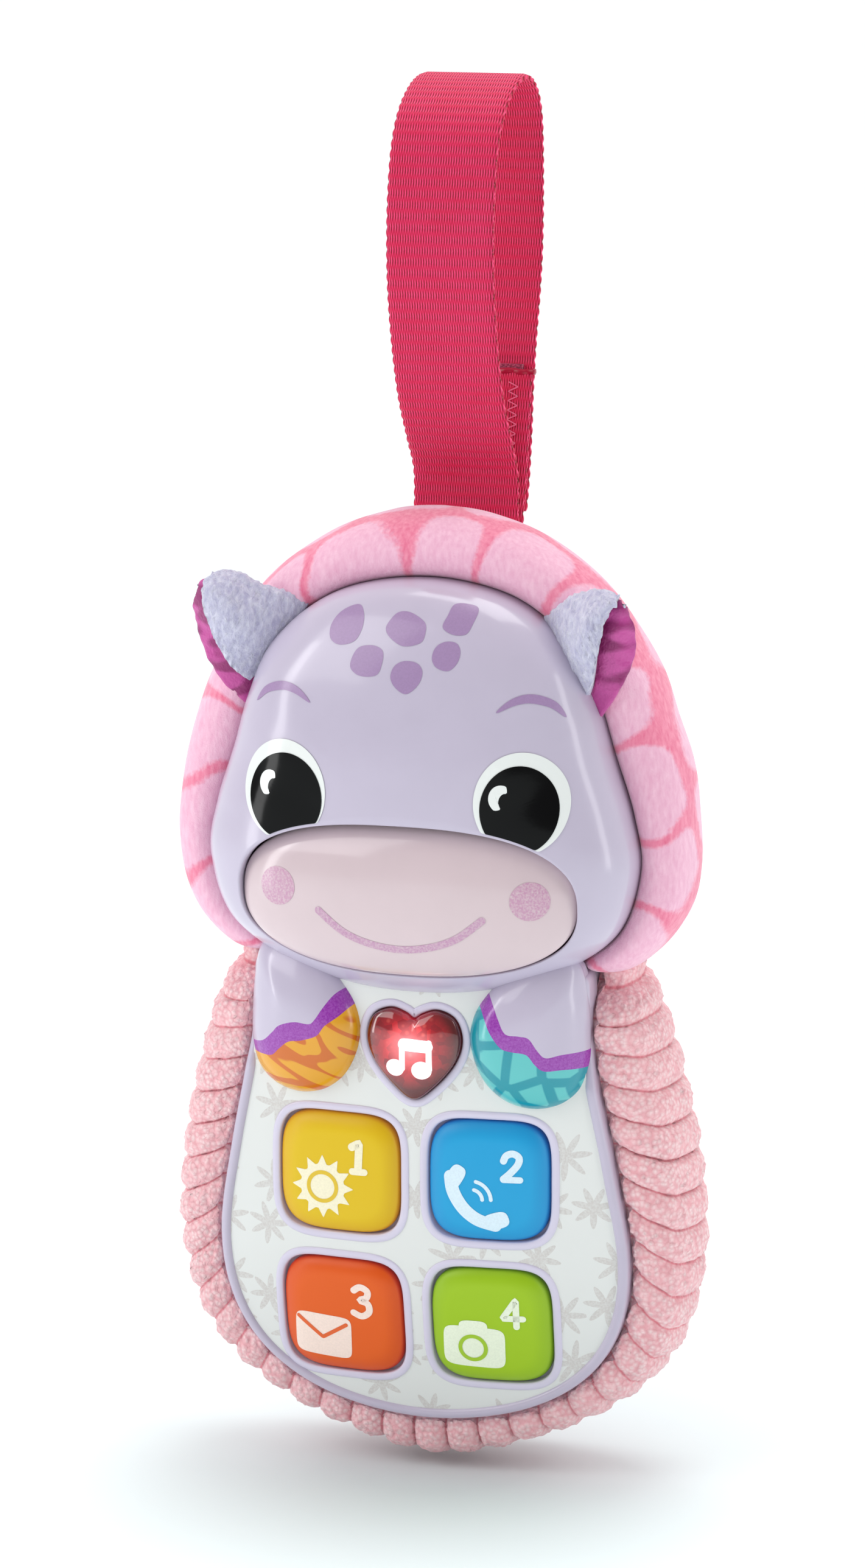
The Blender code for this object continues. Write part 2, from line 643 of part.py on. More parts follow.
def make_rear_case():
    loop = full_loop(CASE)
    inner = outset(loop, -WALL)
    rim_y = PARTING_Y + GAP
    rings = [
        at_depth(shrink(loop, (0, 80), 0.5), CASE_BACK_Y),
        at_depth(outset(loop, -3), CASE_BACK_Y),
        at_depth(outset(loop, -0.9), CASE_BACK_Y - 0.9),
        at_depth(loop, CASE_BACK_Y - 3),
        at_depth(loop, rim_y),
        at_depth(inner, rim_y),
        at_depth(inner, CASE_BACK_Y - 3.6),
        at_depth(outset(inner, -1.8), CASE_BACK_Y - WALL),
        at_depth(shrink(inner, (0, 80), 0.5), CASE_BACK_Y - WALL),
    ]
    case = skin("rear_case", rings)

    def join(tool):
        combine(case, tool, "UNION", "MANIFOLD")

    def cut(tool):
        combine(case, tool, "DIFFERENCE", "MANIFOLD")

    plate = prism("back_plate", back_plate_loop(), CASE_BACK_Y - 1, BACK_PLATE_Y)
    join(plate)
    walls = block("cell_box", (0, 10.6, CELL_Z), (26.4, 12.5, CELL_ROOM + 2.8))
    join(walls)
    for i, sign in ((0, -1), (0, 1), (1, -1), (1, 1)):
        x = sign * SCREW_X[i]
        tower = post(f"screw_tower_{i}{sign}", x, SCREW_Z[i], 2.0, CASE_BACK_Y - 0.8, 4.0)
        join(tower)
    room = block("cell_room", (0, 12.6, CELL_Z), (23.6, 14.2, CELL_ROOM))
    cut(room)
    cut(prism("door_recess", door_loop(GAP), DOOR_BACK_Y, CUT_BACK))
    for i, sign in ((0, -1), (0, 1), (1, -1), (1, 1)):
        x = sign * SCREW_X[i]
        bore = turned(f"screw_bore_{i}{sign}", (x, 0, SCREW_Z[i]), (0, 1, 0),
                      [(0, 1.45), (11.5, 1.45), (11.5, 2.9), (CUT_BACK, 2.9)], 16)
        cut(bore)
    cut(post("door_screw_hole", 0, DOOR_SCREW_Z, 15.2, CUT_BACK, 1.5))
    cut(block("slider_slot", (0, 16.0, SWITCH_Z), (10.6, 8, 3.6)))
    for x in SOUND_SLOT_X:
        cut(block(f"sound_slot_{x}", (x, 16.0, SPEAKER_Z), SOUND_SLOT))
    place(case, "phone", "lilac")


def make_door():
    door = skin("battery_door", [
        at_depth(door_loop(), DOOR_BACK_Y + GAP),
        at_depth(door_loop(), DOOR_FACE_Y - 0.5),
        at_depth(outset(door_loop(), -0.5), DOOR_FACE_Y),
    ])
    combine(door, post("door_screw_seat", 0, DOOR_SCREW_Z, 17.9, CUT_BACK, 3.1), "DIFFERENCE")
    combine(door, post("door_screw_bore", 0, DOOR_SCREW_Z, 10, CUT_BACK, 1.6), "DIFFERENCE")
    place(door, "door", "lilac")
    screw = turned("battery_door_screw", (0, 0, DOOR_SCREW_Z), (0, 1, 0),
                   [(15.4, 1.1), (18.2, 1.1), (18.2, 2.7), (18.9, 2.3)], 20)
    for turn in (0, 1):
        size = (3.6, 1.0, 0.7) if turn else (0.7, 1.0, 3.6)
        slot = block(f"door_screw_slot_{turn}", (0, 18.9, DOOR_SCREW_Z), size)
        combine(screw, slot, "DIFFERENCE")
    place(screw, "door_screw", "steel")


# ---------------------------------------------------------------- buttons

def domed_button(name, loop, centre, top_y, dome, base_y, flange, flange_y):
    """A button whose top follows top_y(x, z), stands `dome` higher in its middle, and has a flange."""
    def crown(rise):
        return lambda x, z: top_y(x, z) - dome * rise

    rings = []
    for s, rise in ((0.25, 0.97), (0.5, 0.86), (0.75, 0.62), (0.92, 0.3)):
        rings.append(at_depth(shrink(loop, centre, s), crown(rise)))
    rings.append(at_depth(loop, crown(-0.5)))
    rings.append(at_depth(loop, flange_y))
    wide = outset(loop, flange)
    rings.append(at_depth(wide, flange_y))
    rings.append(at_depth(wide, base_y))
    return skin(name, rings)


def make_buttons():
    colours = ("yellow", "blue", "orange", "green")
    for index in range(4):
        column, row = index % 2, index // 2
        loop = key_loop(column, row)
        centre = ((-KEY_X, KEY_X)[column], KEY_Z[row])
        key = domed_button(f"key_{index + 1}", loop, centre,
                           lambda x, z: panel_y(x, z) - KEY_PROUD, 0.9, -4.7, 1.2, -5.7)
        place(key, f"key_{index + 1}", colours[index])
    heart = domed_button("heart_button", heart_loop(), (0, HEART_Z),
                         lambda x, z: panel_y(x, z) - 1.5, 1.4, -9.0, 0.9, -10.2)
    place(heart, "heart", "heart_red")

    def muzzle_top(x, z):
        return FACE_PEAK_Y + 3.4 + 0.0030 * x * x + 0.004 * (z - MUZZLE_Z) ** 2

    muzzle = domed_button("muzzle_button", muzzle_loop(), (0, MUZZLE_Z), muzzle_top, 3.0, -12.8, 0.9,
                          -14.0)
    place(muzzle, "muzzle", "muzzle_pink")
    slider = block("volume_slider", (SLIDER_START_X, 17.7, SWITCH_Z), (4.0, 2.6, 3.0))
    stem = block("slider_stem", (SLIDER_START_X, 15.2, SWITCH_Z), (2.4, 4.0, 2.0))
    combine(slider, stem, "UNION")
    place(slider, "slider", "black", smooth=False)


# ---------------------------------------------------------------- insides

def make_electronics():
    board = superellipse(0, 56, 27.0, 33.5, 33.5, 7, 48)
    plate = prism("circuit_board", board, BOARD_Y, BOARD_Y + BOARD_THICK)
    place(plate, "phone", "board", smooth=False)
    sheet = superellipse(0, 44.6, 26.5, 26.6, 26.6, 9, 48)
    pad = prism("keypad_membrane", sheet, BOARD_Y - GAP - 0.6, BOARD_Y - GAP)
    for index in range(4):
        x, z = (-KEY_X, KEY_X)[index % 2], KEY_Z[index // 2]
        dome = turned(f"contact_dome_{index}", (x, 0, z), (0, 1, 0), [(-2.6, 3.0), (-1.9, 4.5)], 16)
        combine(pad, dome, "UNION")
    place(pad, "phone", "rubber")
    led = turned("heart_led", (0, 0, HEART_Z - 1), (0, 1, 0),
                 [(-7.0, 1.0), (-6.5, 2.0), (-5.5, 2.5), (-2.6, 2.5), (-2.6, 2.9), (BOARD_Y - GAP, 2.9)],
                 16)
    place(led, "phone", "clear")
    chip = turned("sound_chip", (18, 0, 76), (0, 1, 0),
                  [(BOARD_Y + BOARD_THICK + GAP, 5.0), (1.8, 4.2), (2.3, 2.0)], 20)
    place(chip, "phone", "black")
    small = block("muzzle_switch_board", (0, -7.4, MUZZLE_Z), (24, 1.2, 13))
    place(small, "phone", "board", smooth=False)
    dome = turned("muzzle_switch_dome", (0, 0, MUZZLE_Z), (0, 1, 0),
                  [(-9.9, 2.6), (-9.2, 3.4), (-8.3, 5.0)], 20)
    place(dome, "phone", "rubber")
    speaker = turned("speaker", (0, 0, SPEAKER_Z), (0, 1, 0),
                     [(3.0, 7.0), (7.0, 7.0), (7.0, 9.0), (11.0, 14.0), (12.6, 14.0)], 32)
    place(speaker, "phone", "black")
    switch = block("slide_switch", (0, 9.0, SWITCH_Z), (12.0, 5.0, 5.0))
    place(switch, "phone", "steel", smooth=False)


def make_power():
    for index, (x, up) in enumerate(((-CELL_X, 1), (CELL_X, -1))):
        half = CELL_LENGTH / 2
        z = CELL_Z + up * CELL_SHIFT
        cell = turned(f"battery_{index + 1}", (x, CELL_Y, z), (0, 0, up),
                      [(-half, CELL_END_RADIUS), (-half + 0.4, CELL_RADIUS), (half - 0.4, CELL_RADIUS),
                       (half, CELL_END_RADIUS), (half, CELL_CAP_RADIUS), (half + 1.0, CELL_CAP_RADIUS)],
                      24)
        place(cell, "phone", "cell")
        coil = []
        start = z - up * (half + GAP + 0.35)
        for k in range(SPRING_TURNS * 8 + 1):
            t = k / (SPRING_TURNS * 8)
            angle = 2 * math.pi * SPRING_TURNS * t
            radius = 2.0 + 1.6 * t
            coil.append((x + radius * math.cos(angle), CELL_Y + radius * math.sin(angle),
                         start - up * SPRING_HEIGHT * t))
        place(tube(f"battery_spring_{index + 1}", coil, SPRING_WIRE_RADIUS), "phone", "steel")
    bridge = block("battery_contact", (0, CELL_Y, CELL_Z - CELL_ROOM / 2 + 0.45), (20, 8, 0.3))
    place(bridge, "phone", "steel", smooth=False)


def make_screws():
    number = 0
    for i in (0, 1):
        for sign in (-1, 1):
            number += 1
            screw = turned(f"case_screw_{number}", (sign * SCREW_X[i], 0, SCREW_Z[i]), (0, 1, 0),
                           [(-4.5, 0.4), (-3.5, 1.1), (11.9, 1.1), (11.9, 2.5), (13.6, 2.1)], 16)
            place(screw, "phone", "steel")


def make_wires():
    """Leads inside the case: speaker to board, cells to board, and muzzle switch to board."""
    routes = {
        "speaker_wire": [(10, 5.5, 122), (13, 4.6, 112), (15, 3.4, 102), (15, 2.2, 94), (14, 1.3, 86)],
        "battery_wire": [(-15.5, 9, 70), (-16.5, 6, 76), (-17, 3, 79), (-17, 1.3, 80)],
        "muzzle_wire": [(-8, -6.3, 108), (-9, -5.2, 104), (-10, -3.8, 98), (-10, -2.4, 92),
                        (-10, -2.2, 87)],
    }
    for name, points in routes.items():
        smooth = smooth_curve([Vector(p) for p in points], 4)
        place(tube(name, smooth, LEAD_RADIUS), "phone", "red_wire")


def main():
    clear_scene()
    make_bodies()
    make_strap()
    make_jacket()
    make_hood()
    make_ears()
    make_face_shell()
    make_body_panel()
    make_panel_label()
    make_rear_case()
    make_door()
    make_buttons()
    make_electronics()
    make_power()
    make_screws()
    make_wires()


main()
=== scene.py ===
"""The looks of the toy phone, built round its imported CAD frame.

Lengths below are in millimetres in the toy's own frame: X across, Y from the face (minus) to the back,
Z up from the lowest point of the jacket. put() turns them into the frame's metres.
"""

import math

import bmesh
import bpy
import numpy as np
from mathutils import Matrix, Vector, noise


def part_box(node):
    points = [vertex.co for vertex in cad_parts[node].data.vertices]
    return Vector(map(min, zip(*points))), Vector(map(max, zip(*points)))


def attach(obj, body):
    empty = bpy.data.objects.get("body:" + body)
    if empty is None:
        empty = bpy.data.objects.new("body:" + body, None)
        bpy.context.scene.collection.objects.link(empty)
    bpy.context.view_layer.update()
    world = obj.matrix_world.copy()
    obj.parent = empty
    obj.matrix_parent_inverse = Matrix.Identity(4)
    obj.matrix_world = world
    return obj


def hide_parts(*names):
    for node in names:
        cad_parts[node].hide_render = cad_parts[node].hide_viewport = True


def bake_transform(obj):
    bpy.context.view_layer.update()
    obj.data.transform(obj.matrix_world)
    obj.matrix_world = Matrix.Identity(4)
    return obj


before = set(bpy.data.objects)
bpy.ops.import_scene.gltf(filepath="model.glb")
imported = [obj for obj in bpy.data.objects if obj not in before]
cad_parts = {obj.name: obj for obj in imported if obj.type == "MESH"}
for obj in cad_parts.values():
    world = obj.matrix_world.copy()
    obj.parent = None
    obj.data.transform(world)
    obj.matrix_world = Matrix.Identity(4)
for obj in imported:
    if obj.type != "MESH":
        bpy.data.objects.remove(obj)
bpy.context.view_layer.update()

MM = 0.001
TINY = 1e-9
NO_SHIFT = (0, 0, 0)
JACKET_BACK_Y = 18.1
jacket_low, jacket_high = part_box("plush_body")
TOY_ORIGIN = np.array([0.0, jacket_high.y - JACKET_BACK_Y * MM, jacket_low.z])

# ------------------------------------------------------------------ outlines, as in the CAD

PANEL = [(0, 10.2), (17, 12.8), (29.5, 19.6), (36.8, 30), (39, 44), (36.3, 62), (33.1, 78),
         (31.8, 88), (31, 97.6), (25, 96.4), (12.5, 93), (0, 91.8)]
FACE = [(0, 92.4), (12.5, 93.5), (25, 97.4), (36, 105), (40, 117), (38.5, 127), (35.3, 137),
        (32.4, 147), (27.5, 157), (16, 165.6), (0, 168.5)]
HEART = [(0, -8.9), (3.9, -6.3), (7.5, -1.9), (8.8, 2.4), (7.6, 6.3), (4.4, 7.8), (1.6, 7.0),
         (0, 6.0)]
ARM = [(29.5, 100.5), (31.3, 95), (31.9, 88), (31.9, 82), (30.6, 77.3), (27.8, 74.4), (24.2, 73),
       (20.6, 72.9), (16.8, 74.1), (13.3, 77), (11, 81.4), (10.2, 86), (11, 90), (13, 93.5),
       (17, 98), (23, 101)]
JACKET = [(0, 0), (20, 4.8), (37, 14), (47, 26), (51, 43), (49.8, 62), (46, 79), (42.5, 89.5),
          (39.0, 96), (36.8, 104), (37, 119), (34.8, 134), (30, 147), (20, 158), (6, 164), (0, 164.5)]
CASE = [(0, 10.8), (17, 13.4), (29, 20.2), (36.2, 30.5), (38.4, 44), (35.7, 62), (32.5, 78),
        (31.2, 89), (31.2, 98), (33, 108), (34.2, 119), (32.3, 133), (27.5, 145.5), (18, 155.5),
        (6, 161.2), (0, 161.8)]
HOOD = [(28.6, 100.0), (31.0, 97.3), (36.5, 97.2), (41.0, 100.0), (45.1, 104.8), (47.9, 111.5), (48.9, 121),
        (48.0, 131), (45.3, 141.5), (40.6, 153.0), (32.2, 165.6), (20.5, 175.0), (9, 179.2), (0, 180)]
STRAP = [(18.4, 166.6), (18.4, 176), (18.0, 184), (13.5, 190.5), (8, 198.5), (4, 208), (1.4, 218),
         (0.7, 227), (1.4, 236), (3.8, 244.5), (8.5, 250.5), (16, 254.4), (24, 255.6), (29.9, 253.6),
         (33.8, 249), (35.2, 241), (35.2, 226), (33.5, 216), (30.8, 207), (28.8, 198), (27.8, 190),
         (26.2, 182), (24.2, 176)]
STRAP_TAB = [(26.4, 201.4), (25.7, 197), (24.5, 191), (22.9, 182), (20.9, 176), (20.1, 166.6)]

FACE_CENTRE = (0, 122)
MUZZLE_CENTRE = (0, 112.2)
HEART_CENTRE = (0, 82.6)
ICON_CENTRES = [(-14.1, 58.7), (14.1, 58.7), (-14.1, 30.6), (14.1, 30.6)]
KEY_CENTRES = [(-14.5, 58.4), (13.9, 59.0), (-14.7, 30.2), (13.7, 30.6)]
KEY_HALF_WIDTH = [11.7, 11.2, 11.7, 11.2]
KEY_HALF = 11.4
KEY_POWER = 3.7  # the caps are rounder than their openings, so a gap shows at the corners
HOLE_POWER = 4.6
ARM_CENTRE = (21.0, 85.0)
MUZZLE_SHADE_SHEET_Y = -9.6
KEY_FILLET = 3.8
HOLE_GAP = 1.1
RIB_PITCH = 6.9
NECK_Z = 96.0
PLATE_CENTRE = (0, 60)


def curve(points, steps=12, closed=False):
    """Points along a smooth curve through the given ones."""
    p = np.array(points, float)
    count = len(p)

    def at(i):
        return p[i % count] if closed else p[min(max(i, 0), count - 1)]

    t = np.linspace(0, 1, steps, endpoint=False)[:, None]
    out = []
    for i in range(count if closed else count - 1):
        a, b, c, d = (at(i + k) for k in (-1, 0, 1, 2))
        out.append(0.5 * (2 * b + (c - a) * t + (2 * a - 5 * b + 4 * c - d) * t ** 2
                          + (3 * b - a - 3 * c + d) * t ** 3))
    if not closed:
        out.append(p[-1:])
    return np.vstack(out)


def both_sides(half, steps=12):
    """The closed outline whose right half is given from the bottom centre to the top centre."""
    return curve(list(half) + [(-x, z) for x, z in reversed(half[1:-1])], steps, closed=True)


def lengths(line):
    """How far along the line each of its points is."""
    return np.concatenate([[0], np.cumsum(np.linalg.norm(np.diff(line, axis=0), axis=1))])


def unit(vectors):
    return vectors / (np.linalg.norm(vectors, axis=-1, keepdims=True) + TINY)


def lumps(points, *layers):
    """Noise at each point, as a sum of layers: the size of a lump in mm, its weight and a shift."""
    total = [sum(weight * noise.noise(Vector(p / size) + Vector(shift)) for size, weight, shift in layers)
             for p in points.reshape(-1, 3)]
    return np.array(total).reshape(points.shape[:-1])


def resample(line, spacing, closed=False):
    """The same line with points an equal distance apart."""
    if closed:
        line = np.vstack([line, line[:1]])
    along = lengths(line)
    count = max(int(round(along[-1] / spacing)), 3)
    wanted = np.linspace(0, along[-1], count, endpoint=not closed)
    return np.stack([np.interp(wanted, along, line[:, k]) for k in range(line.shape[1])], axis=1)


def outward(loop):
    """Unit normals of a closed counterclockwise outline."""
    along = unit(np.roll(loop, -1, axis=0) - np.roll(loop, 1, axis=0))
    return np.stack([along[:, 1], -along[:, 0]], axis=1)


def superellipse(centre, rx, rz, power=2.0, count=96, tilt=0.0):
    """An ellipse, squarer as the power rises above 2."""
    a = np.linspace(0, 2 * np.pi, count, endpoint=False)
    x = rx * np.sign(np.cos(a)) * np.abs(np.cos(a)) ** (2 / power)
    z = rz * np.sign(np.sin(a)) * np.abs(np.sin(a)) ** (2 / power)
    c, s = math.cos(math.radians(tilt)), math.sin(math.radians(tilt))
    return np.stack([centre[0] + x * c - z * s, centre[1] + x * s + z * c], axis=1)


class Outline:
    """A star-shaped outline seen from its centre."""

    def __init__(self, loop, centre):
        self.centre = np.array(centre, float)
        rel = np.array(loop, float) - self.centre
        angle = np.arctan2(rel[:, 1], rel[:, 0])
        order = np.argsort(angle)
        a, r = angle[order], np.hypot(rel[:, 0], rel[:, 1])[order]
        self.angles = np.concatenate([a - 2 * np.pi, a, a + 2 * np.pi])
        self.radii = np.tile(r, 3)

    def radius(self, angle):
        return np.interp(angle, self.angles, self.radii)

    def share(self, x, z):
        """How far out a point is: 0 at the centre and 1 on the outline."""
        dx, dz = x - self.centre[0], z - self.centre[1]
        return np.hypot(dx, dz) / self.radius(np.arctan2(dz, dx))

    def point(self, angle, share=1.0):
        r = self.radius(angle) * share
        return np.stack([self.centre[0] + r * np.cos(angle), self.centre[1] + r * np.sin(angle)], axis=-1)


TRIM_TOP = {-1: [(-32.0, 82.0), (-28.7, 82.8), (-26.5, 84.7), (-24.9, 86.3), (-21.9, 87.3), (-19.0, 87.2),
                 (-17.9, 88.0), (-16.4, 90.3), (-14.5, 92.7), (-12.2, 93.8), (-9.0, 94.5)],
            1: [(9.0, 96.0), (12.4, 95.6), (14.3, 94.0), (15.5, 92.4), (16.5, 90.5), (18.0, 88.0), (20.4, 87.7),
                (22.3, 87.3), (23.8, 85.2), (25.3, 83.8), (28.2, 84.3), (33.0, 84.5)]}
TRIM_LOW = {-1: [(-32.0, 80.2), (-28.6, 80.2), (-26.5, 80.5), (-25.0, 81.9), (-23.0, 83.5), (-20.5, 84.0),
                 (-17.5, 85.1), (-16.0, 87.0), (-13.7, 88.7), (-11.4, 90.6), (-9.0, 91.5)],
            1: [(9.0, 92.6), (12.2, 91.9), (13.6, 90.3), (15.0, 87.8), (17.2, 85.3), (19.4, 84.7), (21.9, 84.3),
                (23.4, 82.5), (25.0, 81.3), (28.2, 81.4), (33.0, 81.2)]}

face_outline = Outline(both_sides(FACE), FACE_CENTRE)
muzzle_loop = superellipse(MUZZLE_CENTRE, 31.2, 14.1, 2.4, 240)
opening_loop = superellipse(MUZZLE_CENTRE, 31.75, 14.65, 2.4, 240)
muzzle_outline = Outline(muzzle_loop, MUZZLE_CENTRE)
opening_outline = Outline(opening_loop, MUZZLE_CENTRE)
heart_loop = both_sides([(x, HEART_CENTRE[1] + z) for x, z in HEART])
heart_outline = Outline(heart_loop, HEART_CENTRE)
arm_loops = {side: curve([(side * x, z) for x, z in ARM], 12, closed=True) for side in (-1, 1)}
arm_outlines = {side: Outline(arm_loops[side], (side * ARM_CENTRE[0], ARM_CENTRE[1])) for side in (-1, 1)}

# ------------------------------------------------------------------ surfaces, as depth at (x, z)


PANEL_FRONT_Y = -15.5
PANEL_BEND_Z = 60  # below this the panel curves back
LABEL_STEP = 0.5
FACE_EDGE_Y = -9
FACE_HEIGHT = 18
MUZZLE_FRONT_Y = -23.6
MUZZLE_HEIGHT = 3.0
ARM_ROOT = 0.4
ARM_HEIGHT = 5.9
KEY_STEP = 1.7
HEART_STEP = 1.2
HEART_HEIGHT = 2.0
DOME_POWER = 2.6


def panel_y(x, z):
    fall = np.maximum(PANEL_BEND_Z - z, 0)
    return PANEL_FRONT_Y + 0.003 * x * x + 0.0032 * fall * fall


def label_y(x, z):
    return panel_y(x, z) - LABEL_STEP


def face_y(x, z):
    a = np.arccos(np.clip(face_outline.share(x, z), 0, 1) ** 1.11)
    return FACE_EDGE_Y - FACE_HEIGHT * np.sin(a) ** 0.8


def muzzle_y(x, z):
    s = np.clip(muzzle_outline.share(x, z), 0, 1)
    top = MUZZLE_FRONT_Y + 0.003 * x * x + 0.004 * (z - MUZZLE_CENTRE[1]) ** 2
    return top - MUZZLE_HEIGHT * (1.5 * (1 - s ** DOME_POWER) ** 0.6 - 0.5)


def arm_y(side):
    def depth(x, z):
        s = np.clip(arm_outlines[side].share(x, z), 0, 1)
        return panel_y(x, z) + ARM_ROOT - ARM_HEIGHT * (1 - s ** DOME_POWER) ** 0.58
    return depth


def key_share(index, x, z):
    """How far out on a key cap a point is: 0 at its centre and 1 at its edge."""
    dx = (x - KEY_CENTRES[index][0]) / KEY_HALF_WIDTH[index]
    dz = (z - KEY_CENTRES[index][1]) / KEY_HALF
    return (np.abs(dx) ** KEY_POWER + np.abs(dz) ** KEY_POWER) ** (1 / KEY_POWER)


def key_y(index):
    def depth(x, z):
        s = key_share(index, x, z)
        edge = np.clip(KEY_HALF * (1 - s) / KEY_FILLET, 0, 1)
        fillet = 1 - np.sqrt(1 - (1 - edge) ** 2 + TINY)
        return panel_y(x, z) - KEY_STEP - 0.5 * (1 - s * s) + 2.1 * fillet
    return depth


def heart_y(x, z):
    s = np.clip(heart_outline.share(x, z), 0, 1)
    return panel_y(x, z) - HEART_STEP - HEART_HEIGHT * (1 - s ** 2.4) ** 0.55


# ------------------------------------------------------------------ making meshes


def put(points):
    """Toy millimetres to the frame's metres."""
    return np.asarray(points, float) * MM + TOY_ORIGIN


def mesh_object(name, points, faces, mat, facing=None, uv=None):
    mesh = bpy.data.meshes.new(name)
    mesh.from_pydata(put(points).tolist(), [], [tuple(int(i) for i in f) for f in faces])
    if facing is not None:
        total = sum((f.normal * f.area for f in mesh.polygons), Vector())
        if total.dot(Vector(facing)) < 0:
            mesh.flip_normals()
    if uv is not None:
        layer = mesh.uv_layers.new(name="print")
        index = np.empty(len(mesh.loops), np.int32)
        mesh.loops.foreach_get("vertex_index", index)
        layer.data.foreach_set("uv", np.asarray(uv, np.float32)[index].ravel())
    mesh.shade_smooth()
    mesh.materials.append(mat)
    obj = bpy.data.objects.new(name, mesh)
    bpy.context.scene.collection.objects.link(obj)
    return obj


def grid_faces(nu, nv, close_u=False, close_v=False):
    i, j = np.meshgrid(np.arange(nu if close_u else nu - 1), np.arange(nv if close_v else nv - 1),
                       indexing="ij")
    i, j = i.ravel(), j.ravel()
    i2, j2 = (i + 1) % nu, (j + 1) % nv
    return np.stack([i * nv + j, i2 * nv + j, i2 * nv + j2, i * nv + j2], axis=1).tolist()


def grid_object(name, points, mat, close_u=False, close_v=False, facing=None, uv=None, caps=False):
    """A surface over a (rows, columns, 3) array of points. With caps the first and last row are closed."""
    points = np.asarray(points, float)
    nu, nv, _ = points.shape
    faces = grid_faces(nu, nv, close_u, close_v)
    flat = points.reshape(-1, 3)
    if caps:
        flat = np.vstack([flat, points[0].mean(0), points[-1].mean(0)])
        for j in range(nv):
            k = (j + 1) % nv
            faces.append((nu * nv, j, k))
            faces.append((nu * nv + 1, (nu - 1) * nv + k, (nu - 1) * nv + j))
        if uv is not None:
            uv = np.vstack([np.asarray(uv).reshape(-1, 2), [[0, 0], [0, 0]]])
    if uv is not None:
        uv = np.asarray(uv).reshape(-1, 2)
    return mesh_object(name, flat, faces, mat, facing, uv)


FRONT = (0, -1, 0)


def domed(name, outline, depth, mat, skirt, shares, around, uv=None):
    """A raised piece over a star-shaped outline, with a side wall `skirt` deep."""
    angle = np.linspace(0, 2 * np.pi, around, endpoint=False)
    rings = []
    for s in np.sin(np.linspace(0.02, 1, shares) * np.pi / 2):
        p = outline.point(angle, share=min(s, 0.9995))
        rings.append(np.stack([p[:, 0], depth(p[:, 0], p[:, 1]), p[:, 1]], axis=1))
    edge = rings[-1]
    for t in (0.15, 1.0):
        rings.append(edge + np.array([0, skirt * t, 0]))
    points = np.array(rings)
    faces = grid_faces(len(rings), around, close_v=True)
    centre = outline.centre
    hub = [centre[0], float(depth(np.array([centre[0]]), np.array([centre[1]]))[0]), centre[1]]
    flat = np.vstack([points.reshape(-1, 3), hub])
    faces += [(len(flat) - 1, j, (j + 1) % around) for j in range(around)]
    return mesh_object(name, flat, faces, mat, FRONT, uv(flat[:, 0], flat[:, 2]) if uv else None)


def on_surface(p, depth, lift):
    return np.stack([p[..., 0], depth(p[..., 0], p[..., 1]) - lift, p[..., 1]], axis=-1)


def patch(name, loop, centre, depth, mat, lift=0.05):
    """A printed shape lying on a surface, filled from its centre out."""
    loop = resample(np.array(loop, float), 0.35, closed=True)
    centre = np.array(centre, float)
    shares = np.linspace(0.04, 1, max(int(np.max(np.linalg.norm(loop - centre, axis=1)) / 0.6), 3))
    points = np.array([on_surface(centre + (loop - centre) * s, depth, lift) for s in shares])
    faces = grid_faces(len(shares), len(loop), close_v=True)
    hub = on_surface(centre[None], depth, lift)
    flat = np.vstack([points.reshape(-1, 3), hub])
    faces += [(len(flat) - 1, j, (j + 1) % len(loop)) for j in range(len(loop))]
    return mesh_object(name, flat, faces, mat, FRONT)


def stroke(name, path, width, depth, mat, lift=0.06, closed=False, taper=False):
    """A printed line of that width lying on a surface, with round ends, or pointed ones with taper."""
    line = resample(np.array(path, float), 0.25, closed)
    radius = width / 2
    if closed:
        along = np.roll(line, -1, axis=0) - np.roll(line, 1, axis=0)
        half = np.full(len(line), radius)
    elif taper:
        along = np.gradient(line, axis=0)
        d = lengths(line)
        half = radius * np.sin(np.pi * d / d[-1]) ** 0.6 + 0.02
    else:
        along = np.gradient(line, axis=0)
        first, last = unit(along[0]), unit(along[-1])
        ends = np.sin(np.linspace(0, np.pi / 2, 6))[:, None] * radius
        line = np.vstack([line[0] - first * ends[:0:-1], line, line[-1] + last * ends[1:]])
        along = np.vstack([np.tile(first, (5, 1)), along, np.tile(last, (5, 1))])
        d = lengths(line)
        reach = np.clip(np.minimum(d, d[-1] - d) / radius, 0, 1)
        half = np.sqrt(np.clip(1 - (1 - reach) ** 2, 0.0004, 1)) * radius
    along = unit(along)
    side = np.stack([along[:, 1], -along[:, 0]], axis=1)
    across = [line + side * (half * t)[:, None] for t in (-1, -0.5, 0, 0.5, 1)]
    points = np.stack([on_surface(p, depth, lift) for p in across], axis=1)
    return grid_object(name, points, mat, close_u=closed, facing=FRONT)


def band(name, loop, profile, depth, mat):
    """A moulded bead that follows a closed outline: profile is (outwards, height) pairs."""
    rows = [on_surface(loop + outward(loop) * out, depth, height) for out, height in profile]
    return grid_object(name, np.array(rows), mat, close_v=True, facing=FRONT)


def ride(obj, body, replaces=()):
    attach(obj, body)
    if replaces:
        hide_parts(*replaces)
    return obj


# ------------------------------------------------------------------ materials


def rgb(red, green, blue):
    """A linear colour from display values."""
    out = []
    for c in (red / 255, green / 255, blue / 255):
        out.append(c / 12.92 if c <= 0.04045 else ((c + 0.055) / 1.055) ** 2.4)
    return (*out, 1.0)


